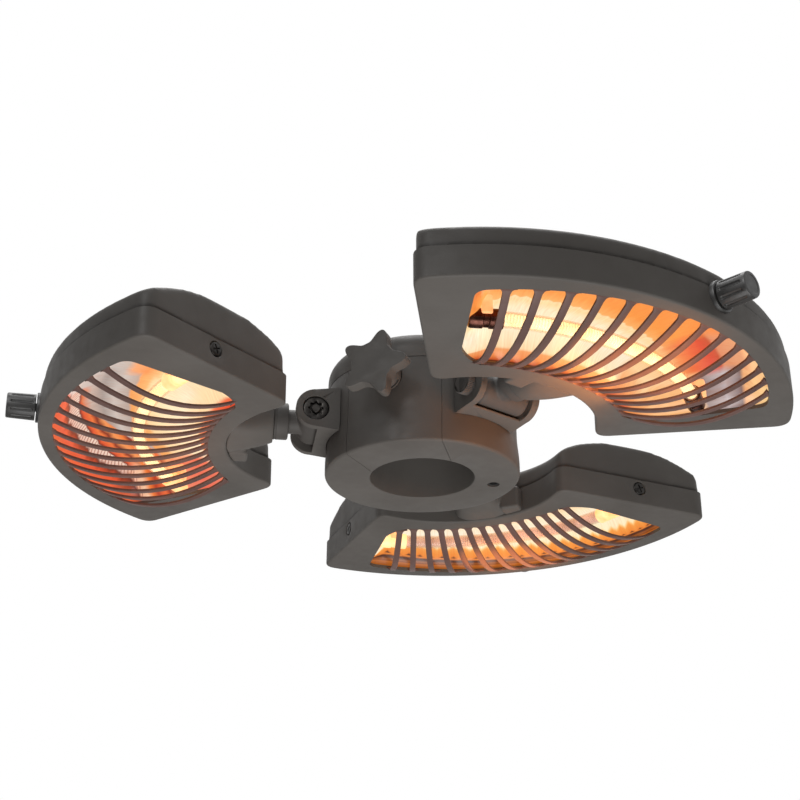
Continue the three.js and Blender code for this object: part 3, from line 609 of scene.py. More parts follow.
view = {
    "place": (0.0053466, -1.0229238, -0.4122513),
    "forward": (-0.01916117, 0.90649554, 0.42178038),
    "lens": 67.741,
    "sensor": 36.0,
}
bpy.ops.object.camera_add(location=view["place"])
camera = bpy.context.object
camera.name = "photoCamera"
camera.rotation_euler = Vector(view["forward"]).to_track_quat("-Z", "Y").to_euler()
camera.data.lens = view["lens"]
camera.data.sensor_width = view["sensor"]
camera.data.clip_start, camera.data.clip_end = 0.05, 30
bpy.context.scene.camera = camera
bpy.context.scene.view_settings.view_transform = "Standard"
print("camera ready")


# Hub: a turned ring with a clamp segment cut out of it, and a lid

hub = {
    "bore": 38.3, "radius": 70.0, "rimRadius": 71.4, "rimHeight": 8.0, "flareTop": 30.0,
    "rimRounding": 2.4, "boreRounding": 0.8, "edges": 0.4, "seatHeight": 65.4, "seam": 0.3, "steps": 192,
    "cableAzimuth": 13.6, "cableReach": 54.0, "cableHole": 4.6,
}
lid = {"top": 88.0, "fillet": 14.0, "flat": 55.0, "boreStep": 44.0, "stepDepth": 0.8, "gap": 0.3}
clamp = {
    "azimuth": 249.5, "offset": 2.2, "innerHalf": 30.4, "outerHalf": 35.4, "innerReach": 27.5,
    "outerReach": 63.0, "height": 51.3, "recess": 11.5, "recessFloor": 58.2, "bore": 4.5,
    "pocketHalf": 11.6, "pocketTall": 12.6, "pocketEnd": 43.2,
}
clampTurn = spun(clamp["azimuth"])
onScrew = clampTurn @ turnAlong("x", 0, 0, clamp["height"])


def hubRing(name):
    flare = []
    for k in range(9):
        share = k / 8
        drop = (1 + math.cos(math.pi * share)) / 2
        flare.append((
            hub["radius"] + (hub["rimRadius"] - hub["radius"]) * drop,
            hub["rimHeight"] + (hub["flareTop"] - hub["rimHeight"]) * share))
    ring = turned(name, [(hub["bore"], 0), (hub["rimRadius"], 0), *flare,
                         (hub["radius"], hub["seatHeight"]), (hub["bore"], hub["seatHeight"])], hub["steps"])
    for radius, height, size, segments in (
            (hub["rimRadius"], 0, hub["rimRounding"], 6),
            (hub["bore"], 0, hub["boreRounding"], 3),
            (hub["radius"], hub["seatHeight"], hub["edges"], 2)):
        roundEdges(ring, lambda edge: onRing(edge, radius, height), size, segments)
    return ring


def wedge(margin):
    # the space between the two splayed faces of the clamp segment
    slope = (clamp["outerHalf"] - clamp["innerHalf"]) / (clamp["outerReach"] - clamp["innerReach"])
    near = clamp["innerHalf"] - clamp["innerReach"] * slope + margin
    far = near + 100 * slope
    piece = plate("wedge", [(0, -near), (100, -far), (100, far), (0, near)], -10, 100)
    settle(piece, spun(clamp["azimuth"] + clamp["offset"]))
    return piece


hubWall = hubRing("hubWall")
combine(hubWall, wedge(hub["seam"]))
atCable = spun(hub["cableAzimuth"]) @ moved(hub["cableReach"])
combine(hubWall, rod("cableHole", hub["cableHole"], -9, 9, 48, atCable))
shaded(hubWall)
dress(hubWall, housingCoat, "hub", "housing", "hub_body")

jawBlock = hubRing("jawBlock")
combine(jawBlock, wedge(0), "INTERSECT")
combine(jawBlock, rod("bossRecess", clamp["recess"], clamp["recessFloor"], 80, 72, onScrew))
combine(jawBlock, rod("screwBore", clamp["bore"], 20, 90, 40, onScrew))
pocket = block("pocket", (20, -clamp["pocketHalf"], clamp["height"] - clamp["pocketTall"]),
               (clamp["pocketEnd"], clamp["pocketHalf"], clamp["height"] + clamp["pocketTall"]))
settle(pocket, clampTurn)
combine(jawBlock, pocket)
shaded(jawBlock)
dress(jawBlock, housingCoat, "jaw", "housing", "clamp_jaw")

lidFoot = hub["seatHeight"] + lid["gap"]
lidStep = lid["top"] - lid["stepDepth"]
hubLid = turned("hubLid", [
    (hub["bore"], lidFoot), (hub["bore"], lidStep), (lid["boreStep"] - 1.2, lidStep), (lid["boreStep"], lid["top"]),
    *[(lid["flat"] + (hub["radius"] - lid["flat"]) * sine, lid["top"] - lid["fillet"] * (1 - cosine))
      for sine, cosine in quarterTurn(16)],
    (hub["radius"], lidFoot)], hub["steps"])
roundEdges(hubLid, lambda edge: onRing(edge, hub["radius"], lidFoot), hub["edges"], 2)
shaded(hubLid)
dress(hubLid, housingCoat, "hub", "housing", "hub_cap")

grommet = turned("cableGrommet", [
    (3.0, 1.0), (4.0, 1.0), (4.5, 1.4), (4.5, 6.0), (3.0, 6.0), (2.7, 3.5)], 48, atCable)
shaded(grommet)
dress(grommet, blackRubber, "hub", "rubber", "cable_grommet")
print("hub ready")


# Star knob, its screw and the pad. The knob stands along z until it is turned onto the screw.

star = {
    "lobes": 5, "tip": 25.0, "valley": 15.8, "sharpness": 1.9, "turn": 18.0, "face": 96.0, "thickness": 9.5,
    "rounding": 0.5, "boss": 11.0, "bossEnd": 68.6, "steps": 200, "bore": 4.3, "boreEnd": 91.6,
    "slit": 28.0, "slits": 5, "slitStep": 8, "slitFrom": 70.9, "slitTo": 73.0, "slitDepth": 8.2,
    "slitEnd": 13.0, "slitHalf": 1.0,
}


def starReach(turn):
    share = (1 + math.cos(star["lobes"] * turn)) / 2
    return star["valley"] + (star["tip"] - star["valley"]) * share ** star["sharpness"]


starBack = star["face"] - star["thickness"]
starOutline = roundOutline(star["steps"], starReach, math.radians(star["turn"]))
starGrip = plate("starGrip", starOutline, starBack, star["face"])
for height in (starBack, star["face"]):
    roundEdges(starGrip, lambda edge: atHeight(edge, height), star["rounding"], 4)
combine(starGrip, turned("boss", [
    (0, star["bossEnd"]), (star["boss"] - 0.6, star["bossEnd"]), (star["boss"], star["bossEnd"] + 0.6),
    (star["boss"], starBack + 1), (0, starBack + 1)], 72), "UNION")
for k in range(star["slits"]):
    # together a short slit round part of the boss, next to the jaw
    slit = block("slit", (star["slitDepth"], -star["slitHalf"], star["slitFrom"]),
                 (star["slitEnd"], star["slitHalf"], star["slitTo"]))
    settle(slit, spun(star["slit"] + star["slitStep"] * k))
    combine(starGrip, slit)
combine(starGrip, rod("gripBore", star["bore"], 60, star["boreEnd"], 40))
settle(starGrip, onScrew)
shaded(starGrip, 40)
dress(starGrip, housingCoat, "knob", "black_plastic", "star_knob")

# the screw: a shank with a ridge every turn of its thread
thread = {"radius": 4.0, "root": 3.3, "pitch": 1.25, "from": 38.9, "end": 78.0, "to": 91.2}
threadProfile = [(0, thread["from"]), (thread["root"], thread["from"])]
height = thread["from"]
while height + thread["pitch"] < thread["end"]:
    threadProfile.append((thread["radius"], height + thread["pitch"] * 0.5))
    threadProfile.append((thread["root"], height + thread["pitch"]))
    height += thread["pitch"]
threadProfile += [(thread["radius"], height + 0.8), (thread["radius"], thread["to"]), (0, thread["to"])]
clampScrew = turned("threadedScrew", threadProfile, 32, onScrew)
shaded(clampScrew)
dress(clampScrew, zincSteel, "knob", "zinc_steel", "clamp_screw")

pad = {"face": 34.6, "thickness": 4.0, "halfWidth": 11.0, "halfHeight": 12.0, "rounding": 0.8,
       "ribs": 5, "grooveHalf": 0.7, "grooveDepth": 0.9}
padFoot = clamp["height"] - pad["halfHeight"]
poleShoe = block("poleShoe", (pad["face"], -pad["halfWidth"], padFoot),
                 (pad["face"] + pad["thickness"], pad["halfWidth"], clamp["height"] + pad["halfHeight"]),
                 pad["rounding"])
for k in range(pad["ribs"]):
    spot = padFoot + 2 * pad["halfHeight"] * (k + 0.5) / pad["ribs"]
    combine(poleShoe, block("groove", (pad["face"] - 1, -20, spot - pad["grooveHalf"]),
                            (pad["face"] + pad["grooveDepth"], 20, spot + pad["grooveHalf"])))
settle(poleShoe, clampTurn)
shaded(poleShoe)
dress(poleShoe, blackRubber, "pad", "rubber", "clamp_pad")
print("clamp ready")


# Tilt bracket: two ears and a web, with a round seat for the knuckle

bracket = {
    "ear": 14.4, "rootHalf": 17.4, "near": 29.5, "far": -24.5, "thickness": 5.0, "nearThickness": 5.8,
    "web": 80.0, "root": 60.0, "seat": 13.2, "bore": 4.3, "recess": 9.6, "recessDepth": 4.2,
    "standoff": 0.6, "edges": 0.8,
}
onPivot = turnAlong("y", pivot["reach"], 0, pivot["height"])


def earOutline():
    # in x and -z, from the root round the bolt and back
    line = [(bracket["root"], pivot["height"] - bracket["rootHalf"])]
    for k in range(33):
        turn = -math.pi / 2 + math.pi * k / 32
        line.append((pivot["reach"] + bracket["ear"] * math.cos(turn),
                     pivot["height"] + bracket["ear"] * math.sin(turn)))
    line.append((bracket["root"], pivot["height"] + bracket["rootHalf"]))
    return [(x, -z) for x, z in reversed(line)]


innerFar = bracket["far"] + bracket["thickness"]
innerNear = bracket["near"] - bracket["nearThickness"]
tiltBracket = plate("tiltBracket", earOutline(), bracket["far"], bracket["near"])
settle(tiltBracket, spun(-90, "X"))
combine(tiltBracket, block("between", (bracket["web"], innerFar, -20), (130, innerNear, 100)))
for name, radius, low, high, steps in (
        ("seat", bracket["seat"], innerFar, innerNear, 96), ("pivotBore", bracket["bore"], -60, 60, 64),
        ("boltRecess", bracket["recess"], bracket["near"] - bracket["recessDepth"], 60, 72)):
    combine(tiltBracket, rod(name, radius, low, high, steps, onPivot))
standoff = bracket["standoff"]
combine(tiltBracket, turned("hubRoom", [
    (0, -5), (hub["rimRadius"] + standoff, -5), (hub["rimRadius"] + standoff, hub["rimHeight"]),
    (hub["radius"] + standoff, hub["flareTop"]), (hub["radius"] + standoff, 100), (0, 100)], 192))
edit(tiltBracket, everything=True)
bpy.ops.mesh.dissolve_limited(angle_limit=math.radians(0.3))
leaveEdit()
bevelled(tiltBracket, bracket["edges"], 38, 3)
shaded(tiltBracket)
onHeads(tiltBracket, housingCoat, "housing", "bracket", body="hub", hangs=False)

# pivot screw: a round head with a lobed socket and a post in its middle
screwHead = {
    "radius": 9.1, "seat": 25.4, "top": 28.1, "socket": 5.0, "socketDepth": 2.5, "lobes": 8, "lobe": 0.7,
    "post": 3.3, "shank": 4.0, "end": -21.8,
}
top = screwHead["top"]
pivotScrew = turned("pivotScrew", [
    (0, screwHead["end"]), (screwHead["shank"], screwHead["end"]), (screwHead["shank"], screwHead["seat"]),
    (screwHead["radius"] - 0.3, screwHead["seat"]), (screwHead["radius"], screwHead["seat"] + 0.3),
    (screwHead["radius"], top - 0.7), (screwHead["radius"] - 0.2, top - 0.2),
    (screwHead["radius"] - 0.8, top), (0, top)], 72)
socketFloor = top - screwHead["socketDepth"]
combine(pivotScrew, plate("socket", roundOutline(
    120, lambda turn: screwHead["socket"] + screwHead["lobe"] * math.cos(screwHead["lobes"] * turn)),
    socketFloor, top + 2))
combine(pivotScrew, turned("post", [
    (0, socketFloor - 0.3), (screwHead["post"], socketFloor - 0.3), (screwHead["post"], top - 0.1),
    (screwHead["post"] - 0.5, top + 0.4), (0, top + 0.4)], 48), "UNION")
bevelled(pivotScrew, 0.2, 50, 2)
settle(pivotScrew, onPivot)
shaded(pivotScrew)
onHeads(pivotScrew, blackSteel, "black_steel", "pivot_bolt", body="hub", hangs=False)

nut = {"radius": 7.9, "ridge": 0.25, "ridges": 40, "low": -31.0, "high": -24.6, "rounding": 0.7}
knurledNut = plate("knurledNut", roundOutline(
    nut["ridges"] * 6, lambda turn: nut["radius"] + nut["ridge"] * math.cos(nut["ridges"] * turn)),
    nut["low"], nut["high"])
roundEdges(knurledNut, lambda edge: atHeight(edge, nut["low"]), nut["rounding"], 3)
settle(knurledNut, onPivot)
shaded(knurledNut)
onHeads(knurledNut, armCoat, "black_steel", "pivot_nut", body="hub", hangs=False)
print("brackets ready")


# Tilting arm: a barrel between the ears and a round stub that carries the head

arm = {"barrel": 11.2, "stub": 8.9, "height": 39.4, "end": 127.0, "near": 23.3, "far": -17.4,
       "bore": 4.3, "farRound": 5.5, "nearRound": 1.2, "grain": 0.7, "rounds": 6}
onArm = turnAlong("x", 0, 0, arm["height"])
knuckle = turned("knuckle", [
    (0, arm["far"]),
    *[(arm["barrel"] - arm["farRound"] * (1 - sine), arm["far"] + arm["farRound"] * (1 - cosine))
      for sine, cosine in quarterTurn(8)],
    (arm["barrel"], arm["near"] - arm["nearRound"]), (arm["barrel"] - arm["nearRound"], arm["near"]),
    (0, arm["near"])], place=onPivot)
stub = rod("stub", arm["stub"], pivot["reach"], arm["end"], 96, onArm)
tiltArm = joined("tiltArm", [knuckle, stub])
cast(tiltArm, arm["grain"], arm["rounds"])
combine(tiltArm, rod("armBore", arm["bore"], -60, 60, 64, onPivot))
shaded(tiltArm, 60)
onHeads(tiltArm, armCoat, "arm_metal", "arm")

collar = {"start": 99.6, "end": 110.1, "radius": 13.5, "bore": 9.2, "lip": 1.0, "groove": 0.3}
waist = collar["radius"] - collar["groove"]
swivelCollar = turned("swivelCollar", [
    (collar["bore"], collar["start"]), (collar["radius"] - collar["lip"], collar["start"]),
    (collar["radius"] - 0.35, collar["start"] + 0.35), (collar["radius"], collar["start"] + collar["lip"]),
    (collar["radius"], collar["end"] - 1.9), (waist, collar["end"] - 1.6), (waist, collar["end"] - 1.2),
    (collar["radius"], collar["end"] - 0.9), (collar["radius"], collar["end"] - 0.3),
    (waist, collar["end"]), (collar["bore"], collar["end"])], 96, onArm)
shaded(swivelCollar)
onHeads(swivelCollar, armCoat, "arm_metal", "collar")
print("arms ready")


# Head: fan-shaped tray, shell, grille and what glows behind it.
# In a head's own frame x runs away from the hub axis and y along the arc.

fan = {
    "outer": (48.9, 228.1), "inner": (56.0, 87.8), "sideStart": (102.7, 76.2), "sideEnd": (199.7, 169.7),
    "outerSoft": 11.0, "innerSoft": 13.0, "softShare": 0.4,
}
window = {
    "outer": (78.6, 188.4), "inner": (19.6, 137.4), "sideStart": (138.0, 81.5), "sideEnd": (214.0, 133.0),
    "outerSoft": 8.0, "innerSoft": 14.0, "softShare": 0.1, "sideSoft": 21.0, "straighter": 0.6,
}


def cutBack(line, reach):
    # shortens a line of points by a length, measured from its first point
    points = [Vector(point) for point in line]
    while len(points) > 2 and (points[1] - points[0]).length < reach:
        reach -= (points[1] - points[0]).length
        points.pop(0)
    points[0] = points[0].lerp(points[1], reach / (points[1] - points[0]).length)
    return points


def evenly(line, count):
    lengths = [0.0]
    for a, b in zip(line, line[1:]):
        lengths.append(lengths[-1] + (b - a).length)
    points, k = [], 0
    for i in range(count + 1):
        goal = lengths[-1] * i / count
        while k < len(line) - 2 and lengths[k + 1] < goal:
            k += 1
        points.append(line[k].lerp(line[k + 1], (goal - lengths[k]) / (lengths[k + 1] - lengths[k])))
    return points


def fanOutline(shape, inset, steps=(64, 30, 8, 8)):
    outerSteps, innerSteps, cornerSteps, sideSteps = steps
    start, end = Vector(shape["sideStart"]), Vector(shape["sideEnd"])
    run = end - start
    base = start + Vector((run.y, -run.x)).normalized() * inset

    def meet(centre, radius):
        b = ((base.x - centre) * run.x + base.y * run.y) / run.length_squared
        c = ((base.x - centre) ** 2 + base.y ** 2 - radius ** 2) / run.length_squared
        return base + run * (-b + math.sqrt(b * b - c))

    def arc(centre, radius, corner):
        reach = math.asin(corner.y / radius)
        return [Vector((centre + radius * math.cos(reach * k / 100), radius * math.sin(reach * k / 100)))
                for k in range(-100, 101)]

    def soften(line, first, last):
        return cutBack(cutBack(line, first)[::-1], last)[::-1]

    def bend(a, corner, b, straighter=0.0):
        corner = corner.lerp((a + b) / 2, straighter)
        shares = [k / cornerSteps for k in range(1, cornerSteps)]
        return [a * (1 - t) ** 2 + corner * 2 * t * (1 - t) + b * t * t for t in shares]

    outerRadius, innerRadius = shape["outer"][1] - inset, shape["inner"][1] + inset
    outerCorner, innerCorner = meet(shape["outer"][0], outerRadius), meet(shape["inner"][0], innerRadius)
    outerCut = shape["outerSoft"] - inset * shape["softShare"]
    innerCut = shape["innerSoft"] - inset * shape["softShare"]
    sideCut = shape.get("sideSoft", shape["innerSoft"]) - inset * shape["softShare"]
    mirror = Vector((1, -1))
    outerArc = evenly(soften(arc(shape["outer"][0], outerRadius, outerCorner), outerCut, outerCut), outerSteps)
    innerArc = evenly(
        soften(arc(shape["inner"][0], innerRadius, innerCorner), innerCut, innerCut)[::-1], innerSteps)
    side = evenly(soften([outerCorner, innerCorner], outerCut, sideCut), sideSteps)
    otherSide = [point * mirror for point in side[::-1]]
    points = [*outerArc, *bend(outerArc[-1], outerCorner, side[0]), *side,
              *bend(side[-1], innerCorner, innerArc[0], shape.get("straighter", 0)), *innerArc,
              *bend(innerArc[-1], innerCorner * mirror, otherSide[0], shape.get("straighter", 0)), *otherSide,
              *bend(otherSide[-1], outerCorner * mirror, outerArc[0])]
    return [(point.x, point.y) for point in points]


head = {"bottom": 18.2, "parting": 39.3, "wall": 2.6, "floor": 2.8, "rim": 1.8}
sideScrew = {"share": 0.545, "height": 32.2, "recess": 5.7, "depth": 2.6, "dish": 9.6, "dishDepth": 0.5,
             "shank": 1.9, "shankEnd": 3.6, "head": 5.1, "headHeight": 2.0, "cross": 1.1, "crossReach": 3.3,
             "crossDepth": 1.2, "crossTurn": 0.4}
sideRun = Vector(fan["sideEnd"]) - Vector(fan["sideStart"])
sideSpot = Vector(fan["sideStart"]) + sideRun * sideScrew["share"]
sideFacing = math.degrees(math.atan2(sideRun.x, -sideRun.y))
ways = {"Near": 1, "Far": -1}


def onSide(way):
    # the place for a body made along z so that it points out of a side wall
    return moved(sideSpot.x, way * sideSpot.y, sideScrew["height"]) @ spun(way * sideFacing) @ spun(90, "Y")


headTray = plate("headTray", fanOutline(fan, 0), head["bottom"], head["parting"])
roundEdges(headTray, lambda edge: atHeight(edge, head["bottom"]), head["rim"], 5)
edit(headTray)
pick(headTray, "FACE", lambda face: face.normal.z > 0.9)
bpy.ops.mesh.inset(thickness=head["wall"] * mm)
bpy.ops.mesh.extrude_region_move(
    TRANSFORM_OT_translate={"value": (0, 0, (head["floor"] + head["bottom"] - head["parting"]) * mm)})
leaveEdit()
for way in ways.values():
    combine(headTray, turned("dish", [
        (0, -sideScrew["depth"]), (sideScrew["recess"], -sideScrew["depth"]),
        (sideScrew["recess"], -sideScrew["dishDepth"] - 0.4), (sideScrew["recess"] + 0.4, -sideScrew["dishDepth"]),
        (sideScrew["dish"], 0.05), (sideScrew["dish"], 4), (0, 4)], 64, onSide(way)))
combine(headTray, plate("windowHole", fanOutline(window, 0), 0, head["bottom"] + head["floor"] + 4))
shaded(headTray)
onHeads(headTray, housingCoat, "housing", "tray")
print("trays ready")

# one grille bar, drawn out along its bulge, then set across the window as often as it has bars
bars = {
    "count": 14, "pitch": 4.22, "innerPitch": 4.12, "lean": 0.8, "outerLean": -0.3, "width": 4.8,
    "thickness": 1.7, "bulge": 12.6, "fillet": 4.0, "entry": 2.5, "length": 105.0, "rounding": 0.45, "overlap": 0.1,
    "stations": [0, 0.15, 0.5, 1.0, 1.6, 2.3, 3.2, 4.2, 5.2, 6.2, 7.2, 8.4, 10, 13, 17, 22, 28, 35, 43],
}


def barWidth(x):
    # the bar flares where it leaves the window's edge
    distance = min(x, bars["length"] - x)
    if distance >= bars["fillet"]:
        return bars["width"]
    left = bars["fillet"] - distance
    return bars["width"] + 2 * (bars["fillet"] - math.sqrt(max(bars["fillet"] ** 2 - left ** 2, 0)))


def barSag(x):
    sag = bars["bulge"] * (1 - (2 * x / bars["length"] - 1) ** 2)
    return sag * min(min(x, bars["length"] - x) / bars["entry"], 1)


stations = [*bars["stations"], bars["length"] / 2, *[bars["length"] - x for x in bars["stations"][::-1]]]
bpy.ops.object.select_all(action="DESELECT")
bpy.ops.mesh.primitive_plane_add(size=mm)
bar = named("grilleBar")
setOut(bar, [(x, side * barWidth(x) / 2, head["bottom"] - barSag(x))
             for x, side in ((0, -1), (stations[1], -1), (0, 1), (stations[1], 1))])
edit(bar)
for before, after in zip(stations[1:], stations[2:]):
    pick(bar, "EDGE", lambda edge: all(abs(vertex.co.x / mm - before) < 0.001 for vertex in edge.verts))
    bpy.ops.mesh.extrude_region_move(TRANSFORM_OT_translate={
        "value": Vector((after - before, 0, barSag(before) - barSag(after))) * mm})
    bpy.ops.transform.resize(value=(1, barWidth(after) / barWidth(before), 1), center_override=(after * mm, 0, 0))
leaveEdit()
facingOut(bar)
if bar.data.polygons[0].normal.z > 0:
    edit(bar, everything=True)
    bpy.ops.mesh.flip_normals()
    leaveEdit()
applied(bar, "SOLIDIFY", thickness=bars["thickness"] * mm, offset=-1, use_even_offset=True)
bevelled(bar, bars["rounding"], 60, 2)


def windowCrossing(angle, far):
    # where a line from the head's origin crosses the window's edge, at its near or far side
    outline = [Vector(point) for point in fanOutline(window, 0)]
    way = Vector((math.cos(angle), math.sin(angle)))
    found = []
    for a, b in zip(outline, outline[1:] + outline[:1]):
        left, right = way.cross(a), way.cross(b)
        if left * right <= 0 and left != right:
            found.append(way.dot(a.lerp(b, left / (left - right))))
    return way * (max(found) if far else min(found))


row = []
for k in range(bars["count"]):
    middle = k - (bars["count"] - 1) / 2
    start = windowCrossing(math.radians(middle * bars["innerPitch"] + bars["lean"]), False)
    end = windowCrossing(math.radians(middle * bars["pitch"] + bars["outerLean"]), True)
    way = (end - start).normalized()
    length = (end - start).length + 2 * bars["overlap"]
    start -= way * bars["overlap"]
    twin = copyOf(bar, f"bar{k}")
    settle(twin, moved(*start) @ Matrix.Rotation(math.atan2(way.y, way.x), 4, "Z")
           @ Matrix.Diagonal((length / bars["length"], 1, 1, 1)))
    row.append(twin)
bpy.data.objects.remove(bar)
grille = joined("grille", row)
shaded(grille, 50)
onHeads(grille, grilleCoat, "housing")
print("grilles ready")

# shell: straight walls a step inside the tray's, under a top that is domed along x
shell = {
    "step": 1.6, "gap": 0.3, "wall": 2.4, "grain": 1.5, "rounds": 14, "domeCentre": 52.0, "inner": 93.0,
    "outer": 223.5, "level": 52.8, "crest": 68.6, "steps": 240, "spare": 8.0, "straight": 4.0, "room": 10.0,
    "dome": [(0, 0), (0.05, 0.3), (0.16, 0.68), (0.32, 0.97), (0.47, 1.02), (0.62, 0.98), (0.78, 0.74),
             (0.92, 0.32), (1, 0)],
}
within, beyond = shell["inner"] - shell["spare"], shell["outer"] + shell["spare"]
dome = turned("dome", [
    (within, 0), (within, shell["level"]),
    *[(shell["inner"] + (shell["outer"] - shell["inner"]) * share,
       shell["level"] + (shell["crest"] - shell["level"]) * rise) for share, rise in softCurve(shell["dome"], 5)],
    (beyond, shell["level"]), (beyond, 0)], shell["steps"], moved(shell["domeCentre"]))
headShell = plate("headShell", fanOutline(fan, shell["step"]), head["parting"] + shell["gap"], 80)
combine(headShell, dome, "INTERSECT")
cast(headShell, shell["grain"], 1)
edit(headShell)
pick(headShell, "VERT", lambda vertex: vertex.co.z > (head["parting"] + shell["straight"]) * mm)
bpy.ops.mesh.vertices_smooth(factor=0.5, repeat=shell["rounds"])
leaveEdit()
combine(headShell, plate("shellRoom", fanOutline(fan, shell["step"] + shell["wall"]), 30,
                         head["parting"] + shell["room"]))
shaded(headShell, 40)
onHeads(headShell, housingCoat, "housing", "shell")
print("shells ready")

# neck: a flared casting between the collar and the head, with a screw block at one side
neck = {
    "points": 64, "grain": 0.8, "rounds": 5, "gap": 0.1, "socket": 9.2, "socketEnd": 127.3,
    "block": ((127, -34.0, 19.5), (150, -18.0, 38.0), 2.0), "screw": (127.0, -25.0, 27.0), "screwSize": 0.66,
    # reach, half width, bottom, top, squareness
    "stations": [(110.4, 16.0, 23.4, 55.4, 2.0), (128.0, 20.0, 20.0, 53.0, 3.2), (150.0, 29.0, 18.6, 52.0, 4.0)],
}


def squared(value, squareness):
    return math.copysign(abs(value) ** (2 / squareness), value)


rings = []
for reach, halfWidth, low, high, squareness in softCurve(neck["stations"], 10):
    turns = [math.tau * k / neck["points"] for k in range(neck["points"])]
    rings.append([(reach, halfWidth * squared(math.cos(turn), squareness),
                   (low + high) / 2 + (high - low) / 2 * squared(math.sin(turn), squareness)) for turn in turns])
headNeck = lofted("headNeck", rings)
combine(headNeck, block("screwBlock", *neck["block"]), "UNION")
combine(headNeck, plate("headRoom", fanOutline(fan, -neck["gap"]), 0, 100))
combine(headNeck, rod("stubRoom", neck["socket"], 100, neck["socketEnd"], 72, onArm))
cast(headNeck, neck["grain"], neck["rounds"])
shaded(headNeck, 60)
onHeads(headNeck, housingCoat, "housing", "neck")
print("necks ready")


# Screws with a cross recess, and the power dial

def crossScrew(name, size, place):
    radius, seat = sideScrew["head"], 0.3 - sideScrew["depth"]
    crown = seat + sideScrew["headHeight"]
    piece = turned(name, [
        (0, seat - sideScrew["shankEnd"]), (sideScrew["shank"], seat - sideScrew["shankEnd"]),
        (sideScrew["shank"], seat), (radius - 0.2, seat), (radius, seat + 0.3), (radius, crown - 1.0),
        (radius - 0.5, crown - 0.35), (radius - 1.6, crown), (0, crown + 0.15)], 48)
    reach, half = sideScrew["crossReach"], sideScrew["cross"] / 2
    for turn in (0, math.pi / 2):
        recess = block("crossArm", (-reach, -half, crown - sideScrew["crossDepth"]), (reach, half, 9))
        settle(recess, Matrix.Rotation(turn + sideScrew["crossTurn"], 4, "Z"))
        combine(piece, recess)
    bevelled(piece, 0.12, 50, 2)
    settle(piece, Matrix.Scale(size, 4))
    shaded(piece)
    settle(piece, place)
    return piece


for word, way in ways.items():
    onHeads(crossScrew(f"sideScrew{word}", 1.0, onSide(way)), blackSteel, "black_steel",
            f"side_screw_{word.lower()}")
neckScrew = crossScrew("neckScrew", neck["screwSize"], moved(*neck["screw"]) @ spun(-90, "Y"))
onHeads(neckScrew, blackSteel, "black_steel")

dial = {
    "height": 35.0, "aside": 12.0, "lean": 6.0, "start": 2.9, "end": 23.0, "radius": 9.4, "tip": 8.9,
    "flutes": 10, "flute": 1.6, "fluteReach": 9.9, "fluteFrom": 4.1, "fluteTo": 20.4,
    "stem": 3.3, "stemEnd": 14.3, "rounding": 0.9,
}
dialReach = fan["outer"][0] + math.sqrt(fan["outer"][1] ** 2 - dial["aside"] ** 2)
onOuterWall = moved(dialReach, dial["aside"], dial["height"]) @ spun(dial["lean"]) @ spun(90, "Y")
powerDial = turned("powerDial", [
    (0, dial["start"]), (dial["radius"] - 0.3, dial["start"]), (dial["radius"], dial["start"] + 0.3),
    (dial["tip"], dial["end"] - dial["rounding"]), (dial["tip"] - 0.27, dial["end"] - 0.27),
    (dial["tip"] - dial["rounding"], dial["end"]), (dial["tip"] - 2.2, dial["end"]),
    (dial["tip"] - 2.6, dial["end"] - 0.3), (0, dial["end"] - 0.3)], 96)
fluteRound = [(dial["flute"] * sine, dial["flute"] * (1 - cosine)) for sine, cosine in quarterTurn(8)]
flute = turned("flute", [
    (0, dial["fluteFrom"]), *[(reach, dial["fluteFrom"] + rise) for reach, rise in fluteRound],
    *[(reach, dial["fluteTo"] - rise) for reach, rise in fluteRound[::-1]]], 24)
for k in range(dial["flutes"]):
    twin = copyOf(flute, "fluteCopy")
    settle(twin, Matrix.Rotation(math.tau * (k + 0.5) / dial["flutes"], 4, "Z") @ moved(dial["fluteReach"]))
    combine(powerDial, twin)
bpy.data.objects.remove(flute)
combine(powerDial, rod("stemRoom", dial["stem"], 0, dial["stemEnd"], 32))
bevelled(powerDial, 0.15, 45, 2)
settle(powerDial, onOuterWall)
shaded(powerDial)
onHeads(powerDial, blackNylon, "black_plastic", "dial", body="dial")

bezel = turned("dialRing", [
    (3.4, -1.5), (10.7, -1.5), (10.7, 1.7), (10.5, 2.1), (10.0, 2.3), (3.4, 2.3)], 96, onOuterWall)
shaded(bezel)
onHeads(bezel, blackNylon, "black_plastic")
print("dials and screws ready")


# Reflector trough, glowing tube and its end blocks

trough = {"levels": [(-1.2, 21.9), (6.0, 27.0), (14.0, 40.0), (30.0, 47.5)], "wall": 1.2, "steps": 5,
          "outline": (64, 40, 8, 12)}


def troughRing(inset, level):
    return [(x, y, level) for x, y in fanOutline(window, inset, trough["outline"])]


inside = softCurve(trough["levels"], trough["steps"])
rings = [troughRing(inset, level) for inset, level in inside[::-1]]
for inset, level in inside:
    lift = trough["wall"] if level > trough["levels"][0][1] + 0.01 else 0
    rings.append(troughRing(inset - trough["wall"], level + lift))
reflectorTrough = lofted("reflectorTrough", rings)
# its UV map is the place in the head's own frame, 1 for 100 mm, so that the painted bands of light can follow the
# tube
layer = reflectorTrough.data.uv_layers.new(name="headPlace")
for loop in reflectorTrough.data.loops:
    layer.data[loop.index].uv = (reflectorTrough.data.vertices[loop.vertex_index].co / (100 * mm)).xy
shaded(reflectorTrough, 50)
onHeads(reflectorTrough, reflectorsWithPaintedGlow, "reflector", "reflector")

tube = {"centre": 26.0, "reach": 181.0, "radius": 5.4, "height": 25.6, "half": 30.2, "wall": 0.8, "steps": 72,
        "sides": 24, "coil": 3.3, "wire": 0.75, "wireSides": 6, "turns": 90, "perTurn": 12, "coilStart": 0.02}


